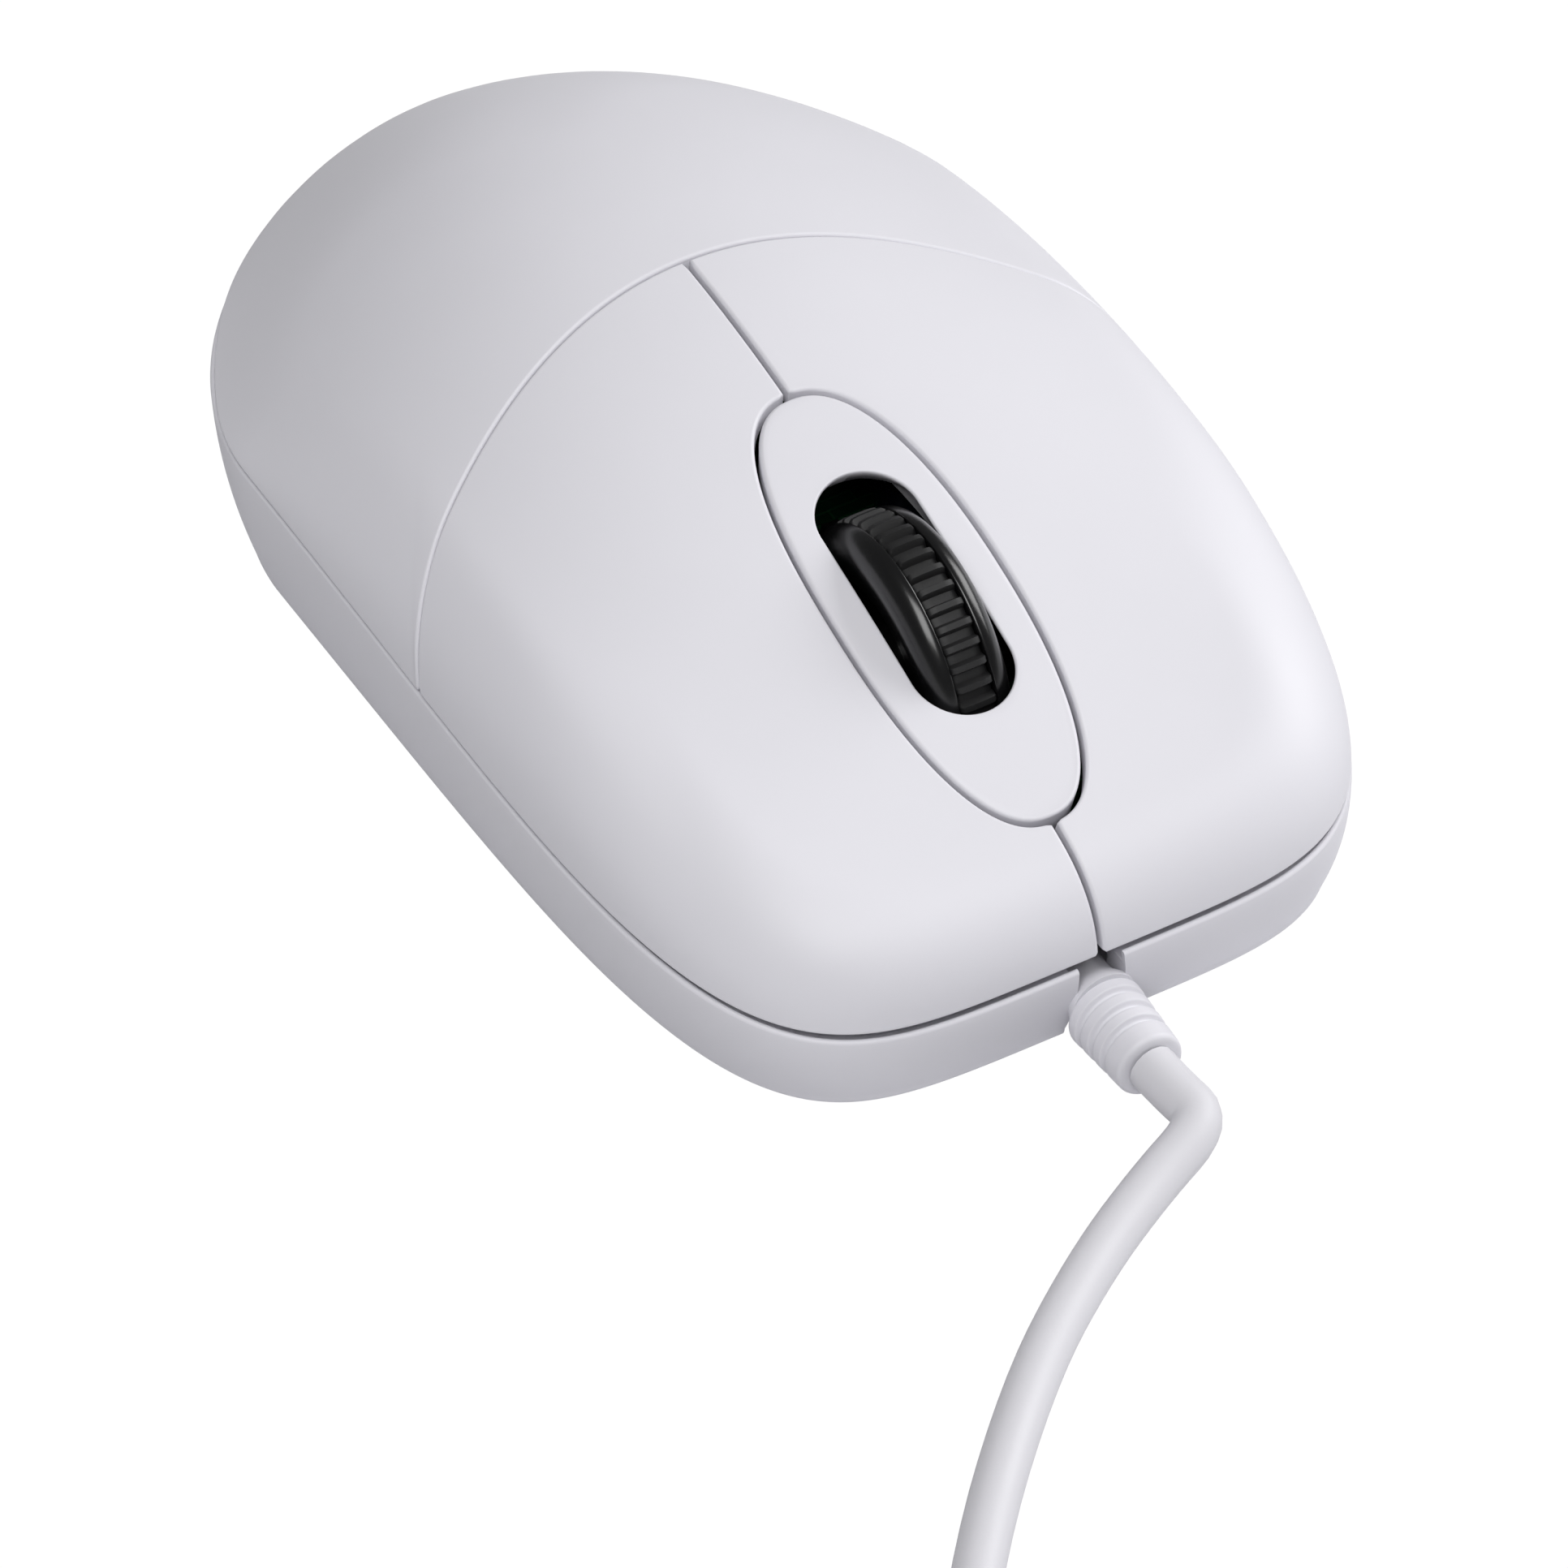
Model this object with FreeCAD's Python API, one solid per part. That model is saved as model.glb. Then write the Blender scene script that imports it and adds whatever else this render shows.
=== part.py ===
"""Corded optical wheel mouse: two-button shell, board, wheel carriage, switches, cord and plug.

Units are millimetres. +Z is up, the cord end faces -Y, the palm end +Y. The origin is under the
middle of the body, on the surface that the mouse stands on. The user's left button is at +X.
"""
import FreeCAD, Part
import math
import os

V = FreeCAD.Vector

# ---- the body's outer skin -------------------------------------------------------------------
body_length = 112.0
body_width = 65.8
body_height = 33.2            # the crown's highest point
crown_y = 10.7                # where the crown is highest
crown_front = 15.6            # height of the crown line, carried to the front end
crown_rear = 19.0             # and to the rear end
side_fall_front = -2.597784   # how far the crown falls to the sides, at the front end
side_fall_rear = 21.6482      # and at the rear end
widest_y = 23.4               # where the two superellipses of the outline join
front_power = 4.75
rear_power = 1.82
shoulder_at = (0.0, 45.0, 75.0, 90.0, 180.0)     # round the outline, front to rear
shoulder_wide = (5.7, 12.3, 6.5, 7.0, 29.5)      # width of the rounded shoulder there
shoulder_power = 2.74
parting_front = 9.0           # height of the parting line at the front end
parting_rear = 13.5
parting_bow = 2.9             # how far it arches above a straight line
draft_front = 2.45            # how far the base's wall leans in, down to its bottom edge
draft_rear = 2.1
skin_wall = 1.8
foot_thick = 0.6
floor_thick = 1.8

# ---- the seams -------------------------------------------------------------------------------
arc_middle_y = 8.4            # palm seam at the centre line
arc_side_y = -6.4             # and at the sides
arc_power = 2.08
seam_gap = 0.2                # palm cover to buttons
split_gap = 0.5               # between the two buttons
bezel_gap = 0.5               # round the wheel bezel
button_gap_front = 0.6        # under the buttons' edge, at the front
button_gap_rear = 0.3         # and at the palm seam
palm_gap = 0.3
oval_y, oval_half_long, oval_half_wide, oval_power = -28.6, 20.15, 7.23, 2.36
slot_y, slot_half_long, slot_half_wide = -28.0, 11.2, 4.25
tongue_thick = 1.0
tongue_gap = 0.3
tongue_high = 1.2
tongue_drop = 0.5             # the lip's top keeps this far under the covers' inner face
lip_root = 3.0                # the lip's thicker foot starts this far under the parting line
notch_top, notch_bottom = 4.6, 7.1
front_y = -body_length / 2

# ---- the wheel and its carriage --------------------------------------------------------------
wheel_y, wheel_z, wheel_radius = -26.8, 18.5, 11.7
wheel_half_wide = 3.5
tread_half_wide = 1.6
tread_depth = 1.5
tread_ribs = 44
rib_depth = 0.45
axle_radius = 1.5
running_gap = 0.05
disc_x, disc_radius, disc_thick, disc_slots = -10.0, 4.6, 0.8, 18
disc_window = (2.6, 4.0)      # the disc's windows lie between these radii
arm_inner, arm_thick = 4.2, 1.4
eye_radius = 3.2
carrier_y, carrier_z = -6.0, 11.0
post_inner, post_thick = 6.0, 2.6
lug_y = -20.0

# ---- the board and what it carries -----------------------------------------------------------
board_bottom, board_thick = 5.6, 1.6
board_half_wide, board_front, board_rear = 22.0, -45.0, 22.0
switch_x, switch_y = 17.0, -36.0
switch_long, switch_wide, switch_high = 12.8, 5.8, 6.5
switch_offset = 1.5           # the body's middle lies this far behind the plunger
plunger_high = 0.7
touch_gap = 0.1               # what presses a plunger, at rest
middle_x = 10.0
middle_size, middle_high, middle_plunger = 6.0, 3.5, 1.75
middle_top = 12.4
sensor_y = 4.0
led_radius = 2.5
pin_radius = 0.45
pin_clear = 0.15

# ---- the buttons' hinge and the screws -------------------------------------------------------
hinge_y, hinge_z, hinge_pin = 13.0, 22.5, 1.0
hinge_x0, hinge_x1 = 10.0, 20.0
hinge_barrel = 2.0
tail_gap = 0.6                # under the palm cover's inner face
lug_thick = 1.7
screw_x, screw_y = 15.0, 34.0
screw_shank, screw_head, screw_head_high = 1.2, 2.3, 1.6
screw_clear = 0.2
boss_split = 9.0              # where the palm cover's bosses meet the base's
well_deep = 3.2               # the screw heads sit this far up their wells
case_screw_long, board_screw_long = 12.5, 4.4
board_screw_shank, board_screw_head, board_screw_head_high = 0.9, 1.9, 1.3
post_radius, cover_boss_radius, base_boss_radius = 2.3, 3.0, 3.4
board_screw_y = 16.5
board_screw_x = 18.0
rest_x, rest_y = 11.8, -42.2   # the board's front rests on two more posts here

# ---- the strain relief, the cord and the plug ------------------------------------------------
cord_diameter = 4.0
relief_z = 3.9
relief_start, relief_end = front_y + 0.1, front_y - 7.3
relief_big, relief_small = 3.5, 2.9
relief_grooves = (front_y - 1.7, front_y - 3.3, front_y - 4.9)
relief_groove_wide, relief_groove_deep = 0.5, 0.45
lead_route = [
    (0.0, -63.3, 3.9), (0.3, -69.7, 3.3), (-5.6, -72.9, 2.3), (-13.7, -77.8, 2.05),
    (-23.6, -85.8, 2.05), (-36.8, -100.5, 2.05), (-50.9, -121.3, 2.1), (-57.4, -145.4, 2.4)]
coil_x, coil_y = -27.3, -153.5
coil_mean = 21.2              # mean radius of the turns
coil_columns = 6
coil_turns = 9.33             # beside the innermost one, on which the cord climbs to the upper layer
tie_thick, tie_wide, tie_angle = 0.4, 6.0, 230.0
tail_route = [
    (-19.4, -183.0, 6.4), (-5.5, -179.4, 5.5), (8.0, -175.3, 4.2), (16.8, -167.2, 4.0),
    (19.5, -155.6, 4.0)]
plug_turn = 76.9              # heading of the plug, degrees from +X
overmould_long, overmould_wide, overmould_high = 26.0, 15.6, 8.0
usb_long, usb_wide, usb_high, usb_wall = 18.75, 12.0, 4.5, 0.3

nodes = {}


# ---- shape helpers ---------------------------------------------------------------------------
def box(x0, x1, y0, y1, z0, z1):
    return Part.makeBox(x1 - x0, y1 - y0, z1 - z0, V(x0, y0, z0))


def rod(radius, x, y, z, length, way=(0, 0, 1)):
    return Part.makeCylinder(radius, length, V(x, y, z), V(*way))


def union(*shapes):
    whole = shapes[0]
    for shape in shapes[1:]:
        whole = whole.fuse(shape)
    return whole


def both_sides(shape):
    return shape, shape.mirror(V(0, 0, 0), V(1, 0, 0))


def keep(name, shape):
    """Adds a node: its solids, checked to be closed."""
    solids = shape.Solids
    if not solids or not all(s.isValid() and s.Volume > 0 for s in solids):
        raise RuntimeError(name + " is not a closed solid")
    nodes[name] = solids[0] if len(solids) == 1 else Part.makeCompound(solids)
    print("%-20s %2d solid(s) %9.1f mm3" % (name, len(solids), sum(s.Volume for s in solids)))


# ---- the skin's formulas ---------------------------------------------------------------------
def outline(turn):
    """Plan point of the parting line, its reach, and how far round it is from front to rear.

    The outline is a superellipse about (0, widest_y), squarer in front. The reach is the distance
    from that centre to the tangent there, so a point scaled by 1 - d/reach lies d inside.
    """
    across, along = math.sin(turn), -math.cos(turn)
    front = along < 0
    power = front_power if front else rear_power
    half = body_length / 2 + (widest_y if front else -widest_y)
    size = (abs(across) ** power + abs(along) ** power) ** (1 / power)
    sx, sy = abs(across) / size, abs(along) / size
    gx, gy = sx ** (power - 1) / (body_width / 2), sy ** (power - 1) / half
    steep = math.hypot(gx, gy)
    round_it = math.degrees(math.atan2(sx ** (power / 2), (1 if front else -1) * sy ** (power / 2)))
    normal = V(math.copysign(gx / steep, across), math.copysign(gy / steep, along), 0)
    return (body_width / 2 * across / size, widest_y + half * along / size,
            1 / steep, round_it, normal)


def shoulder(round_it):
    """Width of the rounded shoulder, eased from one stated width to the next."""
    for k in range(1, len(shoulder_at)):
        if round_it <= shoulder_at[k] or k == len(shoulder_at) - 1:
            t = (round_it - shoulder_at[k - 1]) / (shoulder_at[k] - shoulder_at[k - 1])
            t = min(max(t, 0.0), 1.0)
            return shoulder_wide[k - 1] + (shoulder_wide[k] - shoulder_wide[k - 1]) * t * t * (3 - 2 * t)


def parting(y):
    t = (y + body_length / 2) / body_length
    return parting_front + (parting_rear - parting_front) * t + parting_bow * 4 * t * (1 - t)


def crown(x, y):
    """The top's height: a cubic along the middle, falling by x squared to the sides."""
    t, t0, t1 = y - crown_y, -body_length / 2 - crown_y, body_length / 2 - crown_y
    fall0, fall1 = (body_height - crown_front) / t0 ** 2, (body_height - crown_rear) / t1 ** 2
    fall = fall0 + (fall1 - fall0) * (t - t0) / (t1 - t0)
    share = (y + body_length / 2) / body_length
    side_fall = side_fall_front + (side_fall_rear - side_fall_front) * share
    return body_height - fall * t * t - side_fall * (2 * x / body_width) ** 2


# the rows of the skin close in on a small oval of this size, which a flat face fills; below the
# parting line the skin goes straight down to skirt_z
core_y, core_across, core_along, skirt_z = slot_y, 1.0, 4.0, 2.0
core_slope = (crown(0, core_y + 1) - crown(0, core_y - 1)) / 2


def top_point(turn, v):
    """v from -1 to 0 is the skirt below the parting line, to 1 the shoulder, to 2 the crown."""
    x, y, reach, round_it, _ = outline(turn)
    low = parting(y)
    if v <= 0:
        return V(x, y, low + v * (low - skirt_z))
    angle = min(v, 1.0) * math.pi / 2
    size = (math.cos(angle) ** shoulder_power + math.sin(angle) ** shoulder_power) ** (1 / shoulder_power)
    shrink = 1 - (1 - math.cos(angle) / size) * shoulder(round_it) / reach
    x, y = x * shrink, widest_y + (y - widest_y) * shrink
    if v <= 1:
        return V(x, y, low + (crown(x, y) - low) * math.sin(angle) / size)
    w = v - 1
    cx, cy = core_across * math.sin(turn), core_y - core_along * math.cos(turn)
    flat = crown(0, core_y) + core_slope * (cy - core_y)
    x, y = x + (cx - x) * w, y + (cy - y) * w
    return V(x, y, crown(x, y) + (flat - crown(cx, cy)) * w ** 4)


def inset_point(turn, v, depth):
    """A point of the top skin moved inwards, square to the skin."""
    if depth == 0:
        return top_point(turn, v)
    here = top_point(turn, v)
    if v <= 0:
        return here - outline(turn)[4] * depth
    if v >= 2:
        normal = V(0, -core_slope, 1)
    else:
        step = 1e-3
        along = top_point(turn + step, v) - top_point(turn - step, v)
        across = top_point(turn, v + step) - top_point(turn, v - step)
        normal = along.cross(across)
    return here - normal.normalize() * depth


def equal_turns(count):
    """Turns round the outline that lie at equal distances along it."""
    fine = 2400
    points = [V(*outline(2 * math.pi * k / fine)[:2], 0) for k in range(fine + 1)]
    run = [0.0]
    for a, b in zip(points, points[1:]):
        run.append(run[-1] + a.distanceToPoint(b))
    turns, k = [], 0
    for n in range(count + 1):
        goal = run[-1] * n / count
        while k < fine - 1 and run[k + 1] < goal:
            k += 1
        turns.append(2 * math.pi * (k + (goal - run[k]) / (run[k + 1] - run[k])) / fine)
    return turns, [run[-1] * n / count for n in range(count + 1)]


TURNS, ALONG = equal_turns(112)


def skin_solid(rows):
    """A closed solid: a smooth surface through closed rows of points, with flat ends."""
    curves = []
    for row in rows:
        curve = Part.BSplineCurve()
        curve.interpolate(Points=row, Parameters=ALONG, InitialTangent=V(1, 0, 0),
                          FinalTangent=V(1, 0, 0))
        curves.append(curve)
    up = [0.0]
    for a, b in zip(rows, rows[1:]):
        up.append(up[-1] + sum(p.distanceToPoint(q) for p, q in zip(a, b)) / len(a))
    columns = []
    for poles in zip(*[c.getPoles() for c in curves]):
        column = Part.BSplineCurve()
        column.interpolate(Points=list(poles), Parameters=up)
        columns.append(column)
    surface = Part.BSplineSurface()
    surface.buildFromPolesMultsKnots(
        [c.getPoles() for c in columns], curves[0].getMultiplicities(),
        columns[0].getMultiplicities(), curves[0].getKnots(), columns[0].getKnots(),
        False, False, 3, 3)
    side = surface.toShape()
    ends = [e for e in side.Edges if e.isClosed()]
    caps = [Part.Face(Part.Wire([e])) for e in ends]
    shell = Part.makeShell([side] + caps)
    shell.sewShape()
    solid = Part.makeSolid(shell if shell.ShapeType == "Shell" else shell.Shells[0])
    if solid.Volume < 0:
        solid.reverse()
    return solid


TOP_STEPS = ([-1.0, -0.6, -0.2, 0.0] + [k / 9 for k in range(1, 10)]
             + [1.12, 1.28, 1.46, 1.64, 1.8, 1.92, 2.0])


def top_solid(depth):
    """Everything under the top skin, or under a skin that lies depth inside it."""
    return skin_solid([[inset_point(t, v, depth) for t in TURNS] for v in TOP_STEPS])


def base_solid(depth, bottom, top):
    """Everything inside the base's leaning wall, or depth inside it, from bottom to a flat top."""
    rows = []
    for share in (0.0, 0.25, 0.5, 0.75, 1.0):
        row = []
        for turn in TURNS:
            x, y, _, _, normal = outline(turn)
            z = bottom + (parting(y) - bottom) * share
            draft = draft_front + (draft_rear - draft_front) * (y / body_length + 0.5)
            down = (parting(y) - z) / (parting(y) - foot_thick)
            row.append(V(x, y, z) - normal * (draft * down ** 2 + depth))
        rows.append(row)
    for share in (0.5, 1.0):
        rows.append([p + V(0, 0, (top - p.z) * share) for p in rows[4]])
    return skin_solid(rows)


# ---- cutters ---------------------------------------------------------------------------------
reach_x, reach_y, reach_z = 45.0, 75.0, 60.0


def below_parting(lift_front, lift_rear):
    """All that lies under the parting line raised by the two lifts, as one block."""
    def at(y):
        t = y / body_length + 0.5
        return parting(y) + lift_front + (lift_rear - lift_front) * t
    slope0 = (at(-reach_y + 1) - at(-reach_y)) / 1.0
    slope1 = (at(reach_y) - at(reach_y - 1)) / 1.0
    points = [V(-reach_x, y, at(y)) for y in (-reach_y + 2 * reach_y * k / 24 for k in range(25))]
    top = Part.BSplineCurve()
    top.interpolate(Points=points, InitialTangent=V(0, 1, slope0), FinalTangent=V(0, 1, slope1))
    low0, low1 = V(-reach_x, -reach_y, -5), V(-reach_x, reach_y, -5)
    wire = Part.Wire([top.toShape(), Part.makeLine(points[-1], low1), Part.makeLine(low1, low0),
                      Part.makeLine(low0, points[0])])
    return Part.Face(wire).extrude(V(2 * reach_x, 0, 0))


def palm_region(shift):
    """All that lies behind the palm seam, moved back by shift."""
    def seam(x):
        return arc_middle_y - (arc_middle_y - arc_side_y) * abs(2 * x / body_width) ** arc_power + shift
    points = [V(x, seam(x), -5) for x in (-reach_x + 2 * reach_x * k / 36 for k in range(37))]
    front = Part.BSplineCurve()
    front.interpolate(Points=points)
    back1, back0 = V(reach_x, reach_y, -5), V(-reach_x, reach_y, -5)
    wire = Part.Wire([front.toShape(), Part.makeLine(points[-1], back1),
                      Part.makeLine(back1, back0), Part.makeLine(back0, points[0])])
    return Part.Face(wire).extrude(V(0, 0, reach_z))


def oval(grow):
    """The wheel bezel's outline, grown all round, as an upright block."""
    points = []
    for k in range(48):
        across, along = math.sin(2 * math.pi * k / 48), math.cos(2 * math.pi * k / 48)
        size = (abs(across) ** oval_power + abs(along) ** oval_power) ** (1 / oval_power)
        points.append(V((oval_half_wide + grow) * across / size,
                        oval_y + (oval_half_long + grow) * along / size, -5))
    curve = Part.BSplineCurve()
    curve.interpolate(Points=points, PeriodicFlag=True)
    return Part.Face(Part.Wire([curve.toShape()])).extrude(V(0, 0, reach_z))


def slot(grow):
    """The wheel's slot: two straight sides and two round ends, grown all round."""
    half = slot_half_long - slot_half_wide
    wide = slot_half_wide + grow
    return union(box(-wide, wide, slot_y - half, slot_y + half, -5, reach_z - 5),
                 rod(wide, 0, slot_y - half, -5, reach_z), rod(wide, 0, slot_y + half, -5, reach_z))


outer = top_solid(0)
inner = top_solid(skin_wall)
shell = outer.cut(inner)


def lowered(down):
    return outer.translated(V(0, 0, -down)) if down else outer


def slab(region, down0, down1):
    """The part of a region that lies between the top skin lowered by down0 and by down1."""
    return region.common(lowered(down0)).cut(lowered(down1))


# ---- palm cover ------------------------------------------------------------------------------
under_skin = lowered(1.0)


def palm_cover():
    """The rear dome, with two screw bosses and the lugs and pins that the buttons pivot on."""
    body = shell.common(palm_region(seam_gap / 2)).cut(below_parting(palm_gap, palm_gap))
    extras = []
    for side in (1, -1):
        boss = rod(cover_boss_radius, side * screw_x, screw_y, boss_split, 30).common(under_skin)
        extras.append(boss)
        for x in (hinge_x0 - 0.3 - lug_thick, hinge_x1 + 0.3):
            x0 = x if side > 0 else -x - lug_thick
            lug = box(x0, x0 + lug_thick, hinge_y - 2, hinge_y + 2, hinge_z - 1.6, 40)
            extras.append(lug.common(under_skin))
        x0 = hinge_x0 - 0.3 - lug_thick / 2
        pin_long = hinge_x1 - hinge_x0 + 0.6 + lug_thick
        extras.append(rod(hinge_pin, side * x0, hinge_y, hinge_z, pin_long, (side, 0, 0)))
    body = union(body, *extras)
    for side in (1, -1):
        body = body.cut(rod(screw_shank + running_gap, side * screw_x, screw_y, boss_split - 1, 9))
    return body


# ---- buttons ---------------------------------------------------------------------------------
switch_top = board_bottom + board_thick + switch_high
plunger_top = switch_top + plunger_high


def button():
    """The left button: a shell with a tail on a pivot barrel and a peg over its switch."""
    ahead = box(split_gap / 2, reach_x, -reach_y, reach_y, -5, reach_z)
    block = ahead.cut(palm_region(-seam_gap / 2)).cut(oval(bezel_gap))
    lift = (button_gap_front, button_gap_rear - (button_gap_front - button_gap_rear))
    skin = shell.common(block).cut(below_parting(*lift))
    tail_down = skin_wall + tail_gap
    tail = slab(box(hinge_x0, hinge_x1, -12, hinge_y + 1.5, 5, 40), tail_down, tail_down + 1.8)
    bridge = slab(box(hinge_x0, hinge_x1, -12, -0.5, 5, 40), 1.0, tail_down + 0.6)
    web = box(hinge_x0, hinge_x1, hinge_y - 1.5, hinge_y + 1.5, hinge_z, 40)
    web = web.common(lowered(tail_down + 0.4))
    barrel = rod(hinge_barrel, hinge_x0, hinge_y, hinge_z, hinge_x1 - hinge_x0, (1, 0, 0))
    peg = rod(1.0, switch_x, switch_y, plunger_top + touch_gap, 20).common(under_skin)
    web_peg = box(switch_x - 4, switch_x + 4, switch_y - 0.5, switch_y + 0.5,
                  plunger_top + touch_gap + 1.5, 40).common(under_skin)
    body = union(skin, bridge, tail, web, barrel, peg, web_peg)
    return body.cut(rod(hinge_pin + running_gap, hinge_x0 - 1, hinge_y, hinge_z, 12, (1, 0, 0)))


# ---- wheel bezel -----------------------------------------------------------------------------
board_top = board_bottom + board_thick
leg_radius = 1.5
leg_front_y, leg_rear_y = -43.0, -11.0
ledge_wide, ledge_down, bezel_deep = 1.4, 2.8, 4.0


def wheel_bezel():
    """The oval round the wheel, with a ledge under the buttons' edges and two legs."""
    tip0, tip1 = oval_y - oval_half_long, oval_y + oval_half_long
    plan = union(oval(ledge_wide), box(-1.2, 1.2, front_y + 6, tip0, -5, 40),
                 box(-1.2, 1.2, tip1, 5, -5, 40))
    body = slab(plan, 0, bezel_deep)
    body = body.cut(box(-20, 20, -70, 20, -5, 40).cut(oval(0)).cut(lowered(ledge_down)))
    pocket = oval(-1.2).cut(slot(1.1)).common(lowered(skin_wall))
    legs = [rod(leg_radius, 0, y, board_top, 30).common(under_skin)
            for y in (leg_front_y, leg_rear_y)]
    return union(body.cut(pocket), *legs).cut(slot(0))


# ---- base ------------------------------------------------------------------------------------
floor_top = foot_thick + floor_thick


def notch(grow):
    """The opening in the base's front wall, wider at the bottom, as a long block."""
    def corner(half, z):
        return V(half, 0, z)
    low, high = foot_thick - 2, parting_front + 4
    rise = (notch_bottom - notch_top) / 2 / (parting_front - foot_thick)
    half0 = notch_bottom / 2 + grow + 2 * rise
    half1 = notch_top / 2 + grow - 4 * rise
    wire = Part.makePolygon([corner(-half0, low), corner(half0, low), corner(half1, high),
                             corner(-half1, high), corner(-half0, low)])
    return Part.Face(wire).extrude(V(0, 8.5, 0)).translated(V(0, front_y - 3.5, 0))


def base_case():
    """The bottom tray: floor, wall, inner lip, posts and bosses."""
    lip_in = skin_wall + tongue_gap
    tray = base_solid(0, foot_thick, 22).common(below_parting(0, 0))
    step = base_solid(lip_in, floor_thick, 22).common(below_parting(tongue_high, tongue_high))
    step = step.common(inner.translated(V(0, 0, -tongue_drop)))
    low_hollow = base_solid(skin_wall, floor_top, 22).common(below_parting(-lip_root, -lip_root))
    tray = tray.fuse(step).cut(low_hollow).cut(base_solid(lip_in + tongue_thick, floor_top, 26))
    parts = []
    for side in (1, -1):
        parts.append(rod(base_boss_radius, side * screw_x, screw_y, floor_top - 0.5,
                         boss_split - floor_top + 0.5))
        for x, y in ((rest_x, rest_y), (board_screw_x, board_screw_y)):
            parts.append(rod(post_radius, side * x, y, floor_top - 0.5,
                             board_bottom - floor_top + 0.5))
        x0 = post_inner if side > 0 else -post_inner - post_thick
        parts.append(box(x0, x0 + post_thick, carrier_y - 2.6, carrier_y + 2.6, floor_top - 0.5,
                         carrier_z + 2.6))
    case = union(tray, *parts)
    cuts = [notch(0), rod(4.0, 0, sensor_y, -1, 5)]
    for side in (1, -1):
        cuts.append(rod(screw_shank + screw_clear, side * screw_x, screw_y, 0, 12))
        cuts.append(rod(screw_head + 2 * screw_clear, side * screw_x, screw_y, 0, well_deep))
        cuts.append(rod(board_screw_shank + running_gap, side * board_screw_x, board_screw_y,
                        floor_top, 5))
        x0 = post_inner - 1 if side > 0 else -post_inner - post_thick - 1
        cuts.append(rod(axle_radius + running_gap, x0, carrier_y, carrier_z, post_thick + 2, (1, 0, 0)))
    return case.cut(Part.makeCompound(cuts))


def glide_feet():
    """Two slippery pads, cut to the base's outline."""
    plan = base_solid(4.5, 0.0, 20)
    front = box(-17, 17, front_y + 6, front_y + 14, 0, foot_thick)
    rear = box(-17, 17, -front_y - 14, -front_y - 6, 0, foot_thick)
    return [plan.common(front), plan.common(rear)]


# ---- board and electronics -------------------------------------------------------------------
wheel_gap_y = (wheel_y - 7.5, wheel_y + 7.5)
switch_pins = [(side * switch_x, switch_y + switch_offset + k * 5.08)
               for side in (1, -1) for k in (-1, 0, 1)]
middle_pins = [(middle_x + i * 2.2, lug_y + j * 2.2) for i in (-1, 1) for j in (-1, 1)]
sensor_pins = [(side * 5.6, sensor_y + (k - 1.5) * 2.54) for side in (1, -1) for k in range(4)]
ir_x = (-12.8, -7.4)          # emitter and detector, either side of the slotted disc
ir_pins = [(x, wheel_y + s * 1.27) for x in ir_x for s in (1, -1)]
header_x, header_y = -9.3, -37.6
header_pins = [(header_x + (k - 2) * 1.4, header_y) for k in range(5)]
chip_x, chip_y = -14.5, 6.0
chip_pins = [(chip_x + side * 3.8, chip_y + (k - 3.5) * 1.27) for side in (1, -1) for k in range(8)]
led_y = 17.5


def circuit_board():
    """One board with the wheel's opening, openings for the posts, and pin holes."""
    bevel = 6.0
    w, y0, y1 = board_half_wide, board_front, board_rear
    plan = [V(-w + bevel, y0, 0), V(w - bevel, y0, 0), V(w, y0 + bevel, 0), V(w, y1, 0),
            V(-w, y1, 0), V(-w, y0 + bevel, 0), V(-w + bevel, y0, 0)]
    plate = Part.Face(Part.makePolygon(plan)).extrude(V(0, 0, board_thick))
    plate = plate.translated(V(0, 0, board_bottom))
    low, high = board_bottom - 1, board_top + 1
    cuts = [box(-4.6, 4.6, *wheel_gap_y, low, high), rod(4.0, 0, sensor_y, low, 4)]
    for side in (1, -1):
        x0 = post_inner - 0.5 if side > 0 else -post_inner - post_thick - 0.5
        cuts.append(box(x0, x0 + post_thick + 1, carrier_y - 3.1, carrier_y + 3.1, low, high))
        cuts.append(rod(board_screw_shank + screw_clear, side * board_screw_x, board_screw_y, low, 4))
    for x, y in switch_pins + middle_pins + sensor_pins + ir_pins + header_pins:
        cuts.append(rod(pin_radius + pin_clear, x, y, low, 4))
    return plate.cut(Part.makeCompound(cuts))


def pins(places, top):
    """Solder pins from under the board up to a body's underside."""
    return [rod(pin_radius, x, y, board_bottom - 1.2, top - board_bottom + 1.2) for x, y in places]


def micro_switch(side):
    """A snap-action switch with the well that its plunger slides in."""
    y = switch_y + switch_offset
    body = box(side * switch_x - switch_wide / 2, side * switch_x + switch_wide / 2,
               y - switch_long / 2, y + switch_long / 2, board_top, switch_top)
    body = body.makeChamfer(0.3, body.Edges)
    well = box(side * switch_x - 1.55, side * switch_x + 1.55, switch_y - 0.85, switch_y + 0.85,
               switch_top - 1.8, switch_top + 1)
    return body.cut(well)


def micro_plunger(side):
    return box(side * switch_x - 1.5, side * switch_x + 1.5, switch_y - 0.8, switch_y + 0.8,
               switch_top - 1.2, plunger_top)


def middle_switch():
    half = middle_size / 2
    body = box(middle_x - half, middle_x + half, lug_y - half, lug_y + half, board_top,
               board_top + middle_high)
    body = body.makeChamfer(0.3, body.Edges)
    return body.cut(rod(middle_plunger + 0.1, middle_x, lug_y, board_top + 1.6, 4))


def middle_button():
    return rod(middle_plunger, middle_x, lug_y, board_top + 2.4, middle_top - board_top - 2.4)


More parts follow.
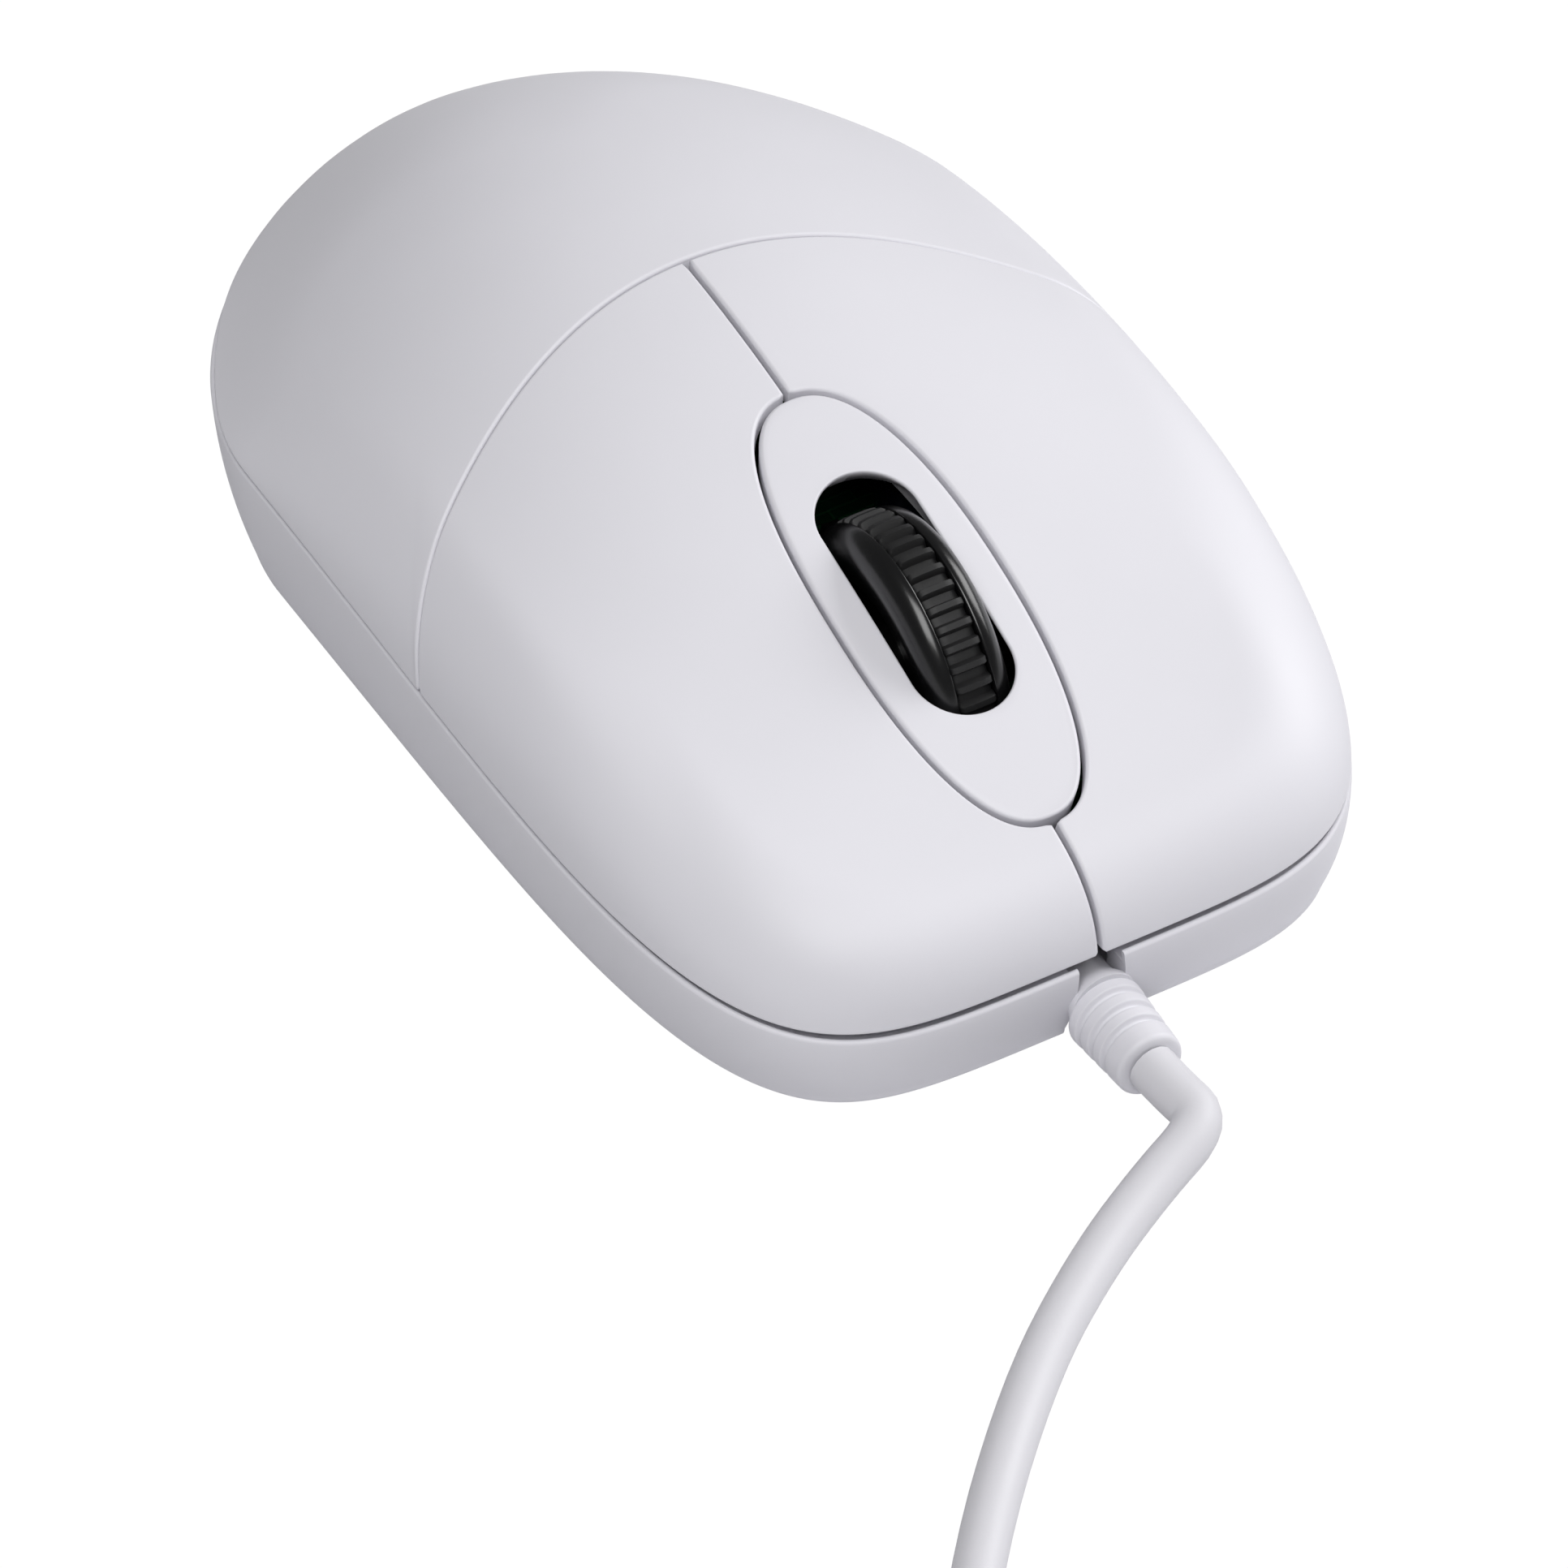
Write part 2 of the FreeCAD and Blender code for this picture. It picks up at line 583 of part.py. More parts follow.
def sensor_chip():
    body = box(-4.9, 4.9, sensor_y - 4.6, sensor_y + 4.6, board_top, board_top + 2.6)
    body = body.makeChamfer(0.35, body.Edges)
    legs = []
    for x, y in sensor_pins:
        inward = -1 if x > 0 else 1
        legs.append(box(min(x, x + inward * 1.2), max(x, x + inward * 1.2), y - 0.25, y + 0.25,
                        board_top + 1.1, board_top + 1.4))
        legs.append(box(x - 0.15, x + 0.15, y - 0.25, y + 0.25, board_bottom - 1, board_top + 1.4))
    return union(body, *legs)


def sensor_lens():
    """Clear moulding under the board: plate, foot round the window, and the lens itself."""
    plate = box(-9.5, 9.5, sensor_y - 6, sensor_y + 6, board_bottom - 1.3, board_bottom)
    foot = rod(5.6, 0, sensor_y, floor_top, board_bottom - floor_top).cut(
        rod(4.2, 0, sensor_y, floor_top - 1, board_bottom - floor_top - 0.3))
    dome = Part.makeSphere(3.2, V(0, sensor_y, board_bottom + 0.6)).common(
        rod(2.6, 0, sensor_y, floor_top, 4))
    pipe = rod(3.4, 0, sensor_y, board_bottom - 0.5, board_thick + 0.3)
    holes = [rod(pin_radius + pin_clear, x, y, floor_top, board_bottom - floor_top + 1)
             for x, y in sensor_pins]
    return union(plate, foot, dome, pipe).cut(Part.makeCompound(holes))


def led():
    """A round lamp lying on its side, facing the sensor, on two bent legs."""
    z = board_top + led_radius + 0.6
    body = rod(led_radius, 0, led_y - 4.5, z, 5.5, (0, 1, 0))
    dome = Part.makeSphere(led_radius, V(0, led_y - 4.5, z))
    rim = rod(led_radius + 0.4, 0, led_y + 1, z, 1, (0, 1, 0))
    parts = [dome, rim]
    for x in (-1.27, 1.27):
        parts.append(box(x - 0.25, x + 0.25, led_y + 1.5, led_y + 3.25, z - 0.25, z + 0.25))
        parts.append(box(x - 0.25, x + 0.25, led_y + 2.75, led_y + 3.25, board_top, z + 0.25))
    return union(body, *parts)


def led_clip():
    """The dark cover that holds the lamp over the board."""
    z = board_top + led_radius + 0.6
    block = box(-4.2, 4.2, led_y - 5.5, led_y + 0.8, board_top, z + led_radius + 1.2)
    tunnel = rod(led_radius + 0.05, 0, led_y - 12, z, 20, (0, 1, 0))
    return block.cut(union(tunnel, box(-1.6, 1.6, led_y - 12, led_y + 8, board_top - 1, z)))


def controller_chip():
    body = box(chip_x - 3.0, chip_x + 3.0, chip_y - 5.2, chip_y + 5.2, board_top + 0.2, board_top + 2.4)
    body = body.makeChamfer(0.3, body.Edges)
    legs = []
    for x, y in chip_pins:
        inward = -1.2 if x > chip_x else 1.2
        legs.append(box(min(x, x + inward), max(x, x + inward), y - 0.2, y + 0.2,
                        board_top + 1.0, board_top + 1.2))
        legs.append(box(x - 0.12, x + 0.12, y - 0.2, y + 0.2, board_top, board_top + 1.2))
    return union(body, *legs)


def crystal():
    body = box(9.6, 20.0, 5.8, 9.6, board_top, board_top + 3.4)
    upright = [e for e in body.Edges if abs(e.tangentAt(e.FirstParameter).z) > 0.9]
    return body.makeFillet(1.85, upright)


def capacitors():
    shapes = []
    for x, y, radius, high in ((17.5, 0.5, 2.5, 7.0), (-19.5, -8.0, 2.0, 6.0), (12.5, -2.0, 2.0, 5.0)):
        can = rod(radius, x, y, board_top, high)
        ring = Part.makeTorus(radius + 0.15, 0.3, V(x, y, board_top + 1.2))
        shapes.append(can.cut(ring))
    return shapes


def ir_part(x, facing):
    """An infra-red emitter or detector: a block with a small round lens on the disc's side."""
    eye_z = wheel_z - (disc_window[0] + disc_window[1]) / 2
    block = box(x - 1.0, x + 1.0, wheel_y - 2.2, wheel_y + 2.2, eye_z - 3.8, eye_z + 1.1)
    dome = Part.makeSphere(0.9, V(x + facing * 0.7, wheel_y, eye_z))
    legs = [rod(pin_radius, px, py, board_bottom - 1.0, eye_z - 2.8 - board_bottom)
            for px, py in ir_pins if px == x]
    return union(block, dome, *legs)


def cable_header():
    """The five-way socket on the board, open to the front."""
    body = box(header_x - 4.4, header_x + 4.4, header_y - 1.8, header_y + 2.4, board_top, board_top + 5.0)
    mouth = box(header_x - 3.7, header_x + 3.7, header_y - 2.8, header_y + 1.4, board_top + 0.9,
                board_top + 4.2)
    return union(body.cut(mouth), *pins(header_pins, board_top + 0.5))


def cable_plug():
    return box(header_x - 3.6, header_x + 3.6, header_y - 5.4, header_y + 0.9, board_top + 1.0,
               board_top + 4.1)


# ---- scroll wheel ----------------------------------------------------------------------------
def wheel_hub():
    """Glossy rims either side of the tyre, a web, the axle and the slotted encoder disc."""
    seat = wheel_radius - tread_depth
    lip = wheel_radius - 0.15
    half = [V(0, seat, 0), V(tread_half_wide, seat, 0), V(tread_half_wide, lip, 0)]
    rim = Part.Arc(V(tread_half_wide, lip, 0), V(wheel_half_wide - 0.45, lip - 0.95, 0),
                   V(wheel_half_wide, lip - 2.5, 0)).toShape()
    edges = [Part.makeLine(half[0], half[1]), Part.makeLine(half[1], half[2]), rim]
    down = [V(wheel_half_wide, lip - 2.5, 0), V(wheel_half_wide, 7.2, 0), V(1.6, 7.2, 0),
            V(1.6, 3.2, 0), V(wheel_half_wide + 0.4, 3.2, 0), V(wheel_half_wide + 0.4, 0, 0), V(0, 0, 0),
            V(0, seat, 0)]
    edges += [Part.makeLine(a, b) for a, b in zip(down, down[1:])]
    side = Part.Face(Part.Wire(edges)).revolve(V(0, 0, 0), V(1, 0, 0), 360)
    wheel = union(side, side.mirror(V(0, 0, 0), V(1, 0, 0)))
    right = rod(axle_radius, 0, 0, 0, arm_inner + arm_thick + 0.8, (1, 0, 0))
    left = rod(axle_radius, 0, 0, 0, -disc_x + disc_thick / 2 + 0.6, (-1, 0, 0))
    disc = rod(disc_radius, disc_x - disc_thick / 2, 0, 0, disc_thick, (1, 0, 0))
    windows = []
    for k in range(disc_slots):
        window = box(disc_x - 1, disc_x + 1, -0.27, 0.27, *disc_window)
        windows.append(window.rotate(V(0, 0, 0), V(1, 0, 0), 360 * k / disc_slots))
    disc = disc.cut(Part.makeCompound(windows))
    return union(wheel, right, left, disc).translated(V(0, wheel_y, wheel_z))


def wheel_tyre():
    """The rubber band, with ribs across it."""
    half = tread_half_wide - 0.02
    band = rod(wheel_radius, -half, 0, 0, 2 * half, (1, 0, 0))
    band = band.cut(rod(wheel_radius - tread_depth, -half - 1, 0, 0, 2 * half + 2, (1, 0, 0)))
    pitch = 2 * math.pi * wheel_radius / tread_ribs
    grooves = []
    for k in range(tread_ribs):
        groove = box(-half - 1, half + 1, -pitch * 0.24, pitch * 0.24,
                     wheel_radius - rib_depth, wheel_radius + 1)
        grooves.append(groove.rotate(V(0, 0, 0), V(1, 0, 0), 360 * (k + 0.5) / tread_ribs))
    return band.cut(Part.makeCompound(grooves)).translated(V(0, wheel_y, wheel_z))


def wheel_carrier():
    """The cradle: two arms from a rear pivot to the wheel's bearings, a cross bar and a lug."""
    parts = []
    for side in (1, -1):
        x0 = arm_inner if side > 0 else -arm_inner - arm_thick
        profile = [(wheel_y, wheel_z + eye_radius), (wheel_y + 4, wheel_z + 2.6),
                   (carrier_y + 1.5, carrier_z + 2.0), (carrier_y + 2.4, carrier_z),
                   (carrier_y + 1.0, carrier_z - 2.2), (carrier_y - 9.5, carrier_z - 2.2),
                   (wheel_y, wheel_z - eye_radius)]
        points = [V(x0, y, z) for y, z in profile + profile[:1]]
        parts.append(Part.Face(Part.makePolygon(points)).extrude(V(arm_thick, 0, 0)))
        parts.append(rod(eye_radius, x0, wheel_y, wheel_z, arm_thick, (1, 0, 0)))
        stub = post_inner + post_thick + 0.4 - arm_inner
        parts.append(rod(axle_radius, side * arm_inner, carrier_y, carrier_z, stub, (side, 0, 0)))
    parts.append(box(-arm_inner - 0.5, arm_inner + 0.5, -16.0, -13.6, carrier_z - 2.2, carrier_z))
    parts.append(box(arm_inner + 0.5, middle_x + 1.6, lug_y - 1.6, lug_y + 1.6,
                     middle_top + touch_gap + 0.7, middle_top + touch_gap + 2.4))
    parts.append(rod(0.7, middle_x, lug_y, middle_top + touch_gap, 1.5))
    body = union(*parts)
    for side in (1, -1):
        x0 = arm_inner - 1 if side > 0 else -arm_inner - arm_thick - 1
        body = body.cut(rod(axle_radius + running_gap, x0, wheel_y, wheel_z, arm_thick + 2, (1, 0, 0)))
    return body


def detent_spring():
    """A leaf on the cross bar that rides on the hub's rim."""
    strip = [(-13.9, carrier_z), (-13.9, carrier_z + 3.2), (-15.0, wheel_z - 2.0), (-14.2, wheel_z + 0.5)]
    back = [(y + 0.25, z) for y, z in reversed(strip)]
    points = [V(2.2, y, z) for y, z in strip + back + strip[:1]]
    return Part.Face(Part.makePolygon(points)).extrude(V(1.1, 0, 0))


# ---- screws ----------------------------------------------------------------------------------
def pan_screw(x, y, seat, shank, head, head_high, long, up):
    """A pan-head screw: its head's flat at seat, its shank running up or down."""
    way = 1 if up else -1
    shank_rod = rod(shank, x, y, seat, long, (0, 0, way))
    disc = rod(head, x, y, seat, head_high, (0, 0, -way))
    rim = [e for e in disc.Edges if e.isClosed() and abs(e.CenterOfMass.z - seat) > head_high / 2]
    disc = disc.makeFillet(head_high * 0.45, rim)
    slots = []
    for a, b in ((head * 0.6, 0.25), (0.25, head * 0.6)):
        z0, z1 = sorted((seat - way * head_high * 1.1, seat - way * head_high * 0.5))
        slots.append(box(x - a, x + a, y - b, y + b, z0, z1))
    return union(shank_rod, disc).cut(Part.makeCompound(slots))


# ---- strain relief, cord and plug ------------------------------------------------------------
def strain_relief():
    """A tapered ribbed sleeve, a neck that fills the notch, and a flange behind the wall."""
    long = relief_start - relief_end
    body = Part.makeCone(relief_big, relief_small, long, V(0, relief_start, relief_z), V(0, -1, 0))
    ends = [e for e in body.Edges if e.isClosed()]
    body = body.makeFillet(0.5, ends)
    for y in relief_grooves:
        ring = rod(5, 0, y + relief_groove_wide / 2, relief_z, relief_groove_wide, (0, -1, 0))
        share = (relief_start - y) / long
        core = relief_big + (relief_small - relief_big) * share - relief_groove_deep
        body = body.cut(ring.cut(rod(core, 0, y + 1, relief_z, 2, (0, -1, 0))))
    neck = notch(-0.15).common(box(-5, 5, relief_start - 0.6, front_y + 4.7, floor_top, 7.4))
    flange = box(-4.6, 4.6, front_y + 5.05, front_y + 6.2, floor_top, 8.4)
    join = rod(2.4, 0, front_y + 6.1, relief_z + 0.9, 6.5, (0, -1, 0))
    return union(body, neck, flange, join)


def tube(route, radius, name):
    """Straight runs joined by tangent arcs, each as large as its two runs allow."""
    points = [V(*p) for p in route]
    edges, here, length = [], points[0], 0.0
    for before, at, after in zip(points, points[1:], points[2:]):
        a, b = (before - at), (after - at)
        run = min(a.Length, b.Length)
        a.normalize()
        b.normalize()
        turn = math.pi - a.getAngle(b)
        bend = 0.45 * run / math.tan(turn / 2)
        cut = 0.45 * run
        start, end = at + a * cut, at + b * cut
        middle = (a + b).normalize()
        centre = at + middle * math.hypot(bend, cut)
        top = centre - middle * bend
        edges += [Part.LineSegment(here, start).toShape(), Part.Arc(start, top, end).toShape()]
        length += here.distanceToPoint(start) + bend * turn
        here = end
        print("%s turn %4.1f degrees, radius %5.1f mm" % (name, math.degrees(turn), bend))
    edges.append(Part.LineSegment(here, points[-1]).toShape())
    length += here.distanceToPoint(points[-1])
    path = Part.Wire(edges)
    first = points[1] - points[0]
    ring = Part.Wire([Part.makeCircle(radius, points[0], first)])
    solid = path.makePipeShell([ring], True, False)
    print("%s length %.1f mm, volume ratio %.4f" % (
        name, length, solid.Volume / (math.pi * radius ** 2 * length)))
    return solid, length


coil_low = tie_thick
coil_rise = cord_diameter                             # the upper turns cross over the lower ones
coil_out = coil_mean + cord_diameter * coil_columns / 2
coil_in = coil_mean - cord_diameter * coil_columns / 2
coil_high = coil_low + cord_diameter + coil_rise


def cord_coil():
    """The outer shape of the wound turns: a low ring, its top corners rounded."""
    ring = rod(coil_out, coil_x, coil_y, coil_low, coil_high - coil_low)
    ring = ring.cut(rod(coil_in, coil_x, coil_y, coil_low - 1, coil_high + 2))
    edges = [e for e in ring.Edges if e.isClosed()]
    return ring.makeFillet(cord_diameter * 0.45, edges)


def coil_tie():
    """A strip wrapped once round the bundle of turns."""
    wrap = box(coil_in - tie_thick, coil_out + tie_thick, -tie_wide / 2, tie_wide / 2, 0,
               coil_high + tie_thick)
    long_edges = [e for e in wrap.Edges if abs(e.tangentAt(e.FirstParameter).y) > 0.9]
    wrap = wrap.makeFillet(cord_diameter * 0.4, long_edges)
    wrap = wrap.rotate(V(0, 0, 0), V(0, 0, 1), tie_angle).translated(V(coil_x, coil_y, 0))
    return wrap.cut(cord_coil())


plug_x, plug_y, plug_z = tail_route[-1]


def on_plug(shape):
    """Turns and moves a piece from the plug's own frame, +X out of its mouth, to where it lies."""
    return shape.rotate(V(0, 0, 0), V(0, 0, 1), plug_turn).translated(V(plug_x, plug_y, plug_z))


def usb_overmould():
    grip = box(7, overmould_long, -overmould_wide / 2, overmould_wide / 2, -plug_z, overmould_high - plug_z)
    grip = grip.makeFillet(1.6, grip.Edges)
    neck = Part.makeCone(3.0, 3.6, 8.5, V(0, 0, 0), V(1, 0, 0))
    grooves = [rod(5, x, 0, 0, 0.6, (1, 0, 0)).cut(rod(2.8, x - 1, 0, 0, 3, (1, 0, 0)))
               for x in (2.0, 4.0)]
    body = union(grip, neck).cut(Part.makeCompound(grooves))
    return on_plug(body)


def usb_shell():
    """The plug's folded steel sheath, open at the mouth, with its two latch windows."""
    x0, x1 = overmould_long, overmould_long + usb_long
    tube_box = box(x0, x1, -usb_wide / 2, usb_wide / 2, -usb_high / 2, usb_high / 2)
    along = [e for e in tube_box.Edges if abs(e.tangentAt(e.FirstParameter).x) > 0.9]
    sheath = tube_box.makeFillet(0.5, along)
    inside = box(x0 + usb_wall, x1 + 1, -usb_wide / 2 + usb_wall, usb_wide / 2 - usb_wall,
                 -usb_high / 2 + usb_wall, usb_high / 2 - usb_wall)
    windows = [box(x0 + 10.6, x0 + 13.1, y - 1.25, y + 1.25, -5, 5) for y in (-2.9, 2.9)]
    return on_plug(sheath.cut(inside).cut(Part.makeCompound(windows)))


tongue_top = 0.15             # the plastic tongue fills the lower half of the sheath


def usb_tongue():
    x0, x1 = overmould_long + usb_wall, overmould_long + usb_long - 0.6
    return on_plug(box(x0, x1, -usb_wide / 2 + usb_wall, usb_wide / 2 - usb_wall,
                       -usb_high / 2 + usb_wall, -tongue_top))


def usb_contacts():
    """Four gilt strips on the tongue, the outer two longer."""
    strips = []
    for k, y in enumerate((-3.5, -1.0, 1.0, 3.5)):
        x1 = overmould_long + usb_long - (1.6 if k in (0, 3) else 2.6)
        strips.append(on_plug(box(overmould_long + 6.0, x1, y - 0.5, y + 0.5, -tongue_top, 0.05)))
    return strips


# ---- every node ------------------------------------------------------------------------------
os.makedirs("parts", exist_ok=True)

keep("palm_cover", palm_cover())
left, right = both_sides(button())
keep("left_button", left)
keep("right_button", right)
keep("wheel_bezel", wheel_bezel())
keep("base_case", base_case())
keep("glide_feet", Part.makeCompound(glide_feet()))
keep("circuit_board", circuit_board())
for side, word in ((1, "left"), (-1, "right")):
    keep(word + "_switch", micro_switch(side))
    keep(word + "_plunger", micro_plunger(side))
keep("middle_switch", middle_switch())
keep("middle_plunger", middle_button())
keep("switch_pins", Part.makeCompound(pins(switch_pins + middle_pins, board_top)))
keep("sensor_chip", sensor_chip())
keep("sensor_lens", sensor_lens())
keep("led", led())
keep("led_clip", led_clip())
keep("controller_chip", controller_chip())
keep("crystal", crystal())
keep("capacitors", Part.makeCompound(capacitors()))
keep("ir_emitter", ir_part(ir_x[0], 1))
keep("ir_detector", ir_part(ir_x[1], -1))
keep("cable_header", cable_header())
keep("cable_plug", cable_plug())
keep("wheel_hub", wheel_hub())
keep("wheel_tyre", wheel_tyre())
keep("wheel_carrier", wheel_carrier())
keep("detent_spring", detent_spring())
keep("case_screws", Part.makeCompound(
    [pan_screw(s * screw_x, screw_y, well_deep, screw_shank, screw_head, screw_head_high,
               case_screw_long, True) for s in (1, -1)]))
keep("board_screws", Part.makeCompound(
    [pan_screw(s * board_screw_x, board_screw_y, board_top, board_screw_shank, board_screw_head,
               board_screw_head_high, board_screw_long, False) for s in (1, -1)]))
keep("strain_relief", strain_relief())
inner_route = [(header_x, header_y - 5.4, board_top + 2.5),
               (header_x, front_y + 8.8, board_top + 1.0), (-5.4, front_y + 8.4, 6.6),
               (-1.2, front_y + 9.0, 5.2), (0, front_y + 6.2, 4.9)]
wires, _ = tube(inner_route, 0.9, "inner_cable")
keep("inner_cable", wires)
lead, lead_length = tube(lead_route, cord_diameter / 2, "cord_lead")
keep("cord_lead", lead)
tail, tail_length = tube(tail_route, cord_diameter / 2, "cord_tail")
keep("cord_tail", tail)
keep("cord_coil", cord_coil())
keep("coil_tie", coil_tie())
keep("usb_overmould", usb_overmould())
keep("usb_shell", usb_shell())
keep("usb_tongue", usb_tongue())
keep("usb_contacts", Part.makeCompound(usb_contacts()))
coil_length = 2 * math.pi * (coil_mean * coil_turns + coil_in + 0.75 * cord_diameter)
print("cord length %.0f mm" % (lead_length + coil_length + tail_length))

for name, shape in nodes.items():
    shape.exportStep("parts/%s.step" % name)
print(len(nodes), "nodes")
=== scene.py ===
"""A corded optical mouse, put together around its CAD frame: base, insides, wheel, bezel, buttons,
palm cover, strain relief, cord, coil and plug. Lengths are in metres unless a name ends in _mm."""
import math
import bpy
import bmesh
import numpy as np
from mathutils import Matrix, Vector


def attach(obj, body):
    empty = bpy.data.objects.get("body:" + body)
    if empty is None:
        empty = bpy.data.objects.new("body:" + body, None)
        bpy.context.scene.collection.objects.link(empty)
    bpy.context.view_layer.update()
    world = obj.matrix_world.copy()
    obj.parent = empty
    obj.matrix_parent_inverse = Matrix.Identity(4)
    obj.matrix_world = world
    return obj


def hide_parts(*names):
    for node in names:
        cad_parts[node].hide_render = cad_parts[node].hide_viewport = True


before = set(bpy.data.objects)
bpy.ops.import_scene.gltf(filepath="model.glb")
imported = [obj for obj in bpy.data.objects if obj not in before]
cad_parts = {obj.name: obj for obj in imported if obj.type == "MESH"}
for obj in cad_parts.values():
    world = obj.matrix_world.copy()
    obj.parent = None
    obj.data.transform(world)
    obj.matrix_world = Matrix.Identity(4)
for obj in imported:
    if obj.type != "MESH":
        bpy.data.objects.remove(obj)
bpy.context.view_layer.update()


# ---- Set, light and camera ---------------------------------------------------------------------
# A white studio: a pale sweep under the object, which the camera sees as plain white, and two large
# soft boxes, one high over its front and one on its +X side. A long lens looks down on its corner.
def linear(hex_colour, alpha=1.0):
    """An sRGB hex colour as linear RGBA."""
    parts = [int(hex_colour[i:i + 2], 16) / 255 for i in (1, 3, 5)]
    return [c / 12.92 if c <= 0.04045 else ((c + 0.055) / 1.055) ** 2.4 for c in parts] + [alpha]


def add(tree, kind, links=(), **settings):
    """Adds a node: settings that are its properties are set on it, the rest go to its sockets."""
    node = tree.nodes.new(kind)
    for key, value in settings.items():
        if hasattr(node, key):
            setattr(node, key, value)
        else:
            name = key.replace("_", " ")
            socket = next(s for s in node.inputs if s.name.lower() == name.lower() and s.enabled)
            socket.default_value = value
    for source, name in links:
        target = next(s for s in node.inputs if s.name.lower() == name.lower() and s.enabled)
        tree.links.new(source, target)
    return node


def material(name, **sockets):
    """A new material with one principled shader, its constants set on its own sockets."""
    made = bpy.data.materials.new(name)
    made.use_nodes = True
    tree = made.node_tree
    shader = tree.nodes["Principled BSDF"]
    for key, value in sockets.items():
        shader.inputs[key.replace("_", " ")].default_value = value
    return made, tree, shader


def soft_box(name, place, aim, size, power):
    """A square area light at a place, turned to shine at a point."""
    light = bpy.data.lights.new(name, "AREA")
    light.shape = "SQUARE"
    light.size = size
    light.energy = power
    lamp = bpy.data.objects.new(name, light)
    lamp.location = place
    lamp.rotation_euler = (Vector(aim) - Vector(place)).to_track_quat("-Z", "Y").to_euler()
    bpy.context.collection.objects.link(lamp)


sweep_half = 3.0
sweep_mesh = bpy.data.meshes.new("sweep")
sweep_mesh.from_pydata([(-sweep_half, -sweep_half, 0), (sweep_half, -sweep_half, 0),
                        (sweep_half, sweep_half, 0), (-sweep_half, sweep_half, 0)], [], [(0, 1, 2, 3)])
sweep = bpy.data.objects.new("sweep", sweep_mesh)
bpy.context.collection.objects.link(sweep)
# Matt paper, a little grey for the light it throws back; to the eye it is burnt out to plain white.
sweep_paint, tree, shader = material("white_paper_sweep", Base_Color=linear("#e6e6e8"), Roughness=0.9)
glow = add(tree, "ShaderNodeEmission", Color=(1, 1, 1, 1), Strength=1.02)
seen = add(tree, "ShaderNodeLightPath").outputs["Is Camera Ray"]
both = add(tree, "ShaderNodeMixShader", [(seen, "Fac")])
tree.links.new(shader.outputs["BSDF"], both.inputs[1])
tree.links.new(glow.outputs["Emission"], both.inputs[2])
tree.links.new(both.outputs["Shader"], tree.nodes["Material Output"].inputs["Surface"])
sweep_mesh.materials.append(sweep_paint)

world = bpy.data.worlds.new("studio")
world.use_nodes = True
even_fill = world.node_tree.nodes["Background"].inputs
even_fill["Color"].default_value = linear("#ffffff")
even_fill["Strength"].default_value = 0.142
bpy.context.scene.world = world
bpy.context.scene.view_settings.view_transform = "Standard"

box_size, key_watts, side_watts = 0.8, 12.9, 11.6
soft_box("key", (-0.325, -0.563, 1.126), (0, 0, 0), box_size, key_watts)
soft_box("side", (1.126, 0.0, 0.65), (0, 0, 0), box_size, side_watts)

camera_azimuth, camera_elevation, camera_roll = -26.579, 42.739, -3.478     # degrees
camera_distance, camera_lens_mm = 1.018, 294.78
camera_target = Vector((-0.0056, -0.01462, -0.00225))
turn, tilt, roll = (math.radians(v) for v in (camera_azimuth, camera_elevation, camera_roll))
camera = bpy.data.objects.new("camera", bpy.data.cameras.new("camera"))
camera.data.lens = camera_lens_mm
camera.data.clip_start = 0.05
towards = Vector((math.sin(turn) * math.cos(tilt), -math.cos(turn) * math.cos(tilt), math.sin(tilt)))
camera.location = camera_target + towards * camera_distance
level = Vector((math.cos(turn), math.sin(turn), 0))
upright = towards.cross(level)
sideways = level * math.cos(roll) + upright * math.sin(roll)
axes = Matrix((sideways, towards.cross(sideways), towards))
camera.rotation_euler = axes.transposed().to_euler()
bpy.context.collection.objects.link(camera)
bpy.context.scene.camera = camera


# ---- Base case ---------------------------------------------------------------------------------
# The tray that carries everything: moulded white ABS, its wall leaning in towards the desk, with a
# rounded lip at the parting line, a tongue that keeps the covers in line, and a notch for the cord.
body_length, body_width, body_height = 112.0, 65.8, 33.2        # millimetres, as all shapes here
widest_y, front_power, rear_power = 23.4, 4.75, 1.82
skin_wall, foot_thick, floor_thick = 1.8, 0.6, 1.8
parting_front, parting_rise, parting_arch = 9.0, 4.5, 2.9
draft_front, draft_loss = 2.45, 0.35                            # how far the wall's foot leans in
lip_round, heel_round, floor_edge = 0.32, 1.1, 0.4
tongue_in, tongue_out, tongue_high, tongue_foot, tongue_edge = 3.1, 2.1, 1.0, 3.0, 0.15
rebate_in, rebate_deep, rebate_edge = 0.5, 1.3, 0.12            # the groove between lip and tongue
spine_reach = 22.0
notch_front_y, notch_rear_y = -59.5, -51.0
notch_low_z, notch_low_half, notch_high_z, notch_high_half = -1.4, 2.7, 13.0, 1.7
screw_x, screw_y, sensor_y = 15.0, 34.0, 4.0
well_radius, well_top, window_radius, window_top = 2.7, 2.2, 4.0, 5.0


def half_length(y):
    """The outline's reach along y from its widest place, to the front or to the rear."""
    return body_length / 2 + np.where(y < widest_y, widest_y, -widest_y)


def outline_power(y):
    """The superellipse's power, higher in front."""
    return np.where(y < widest_y, front_power, rear_power)


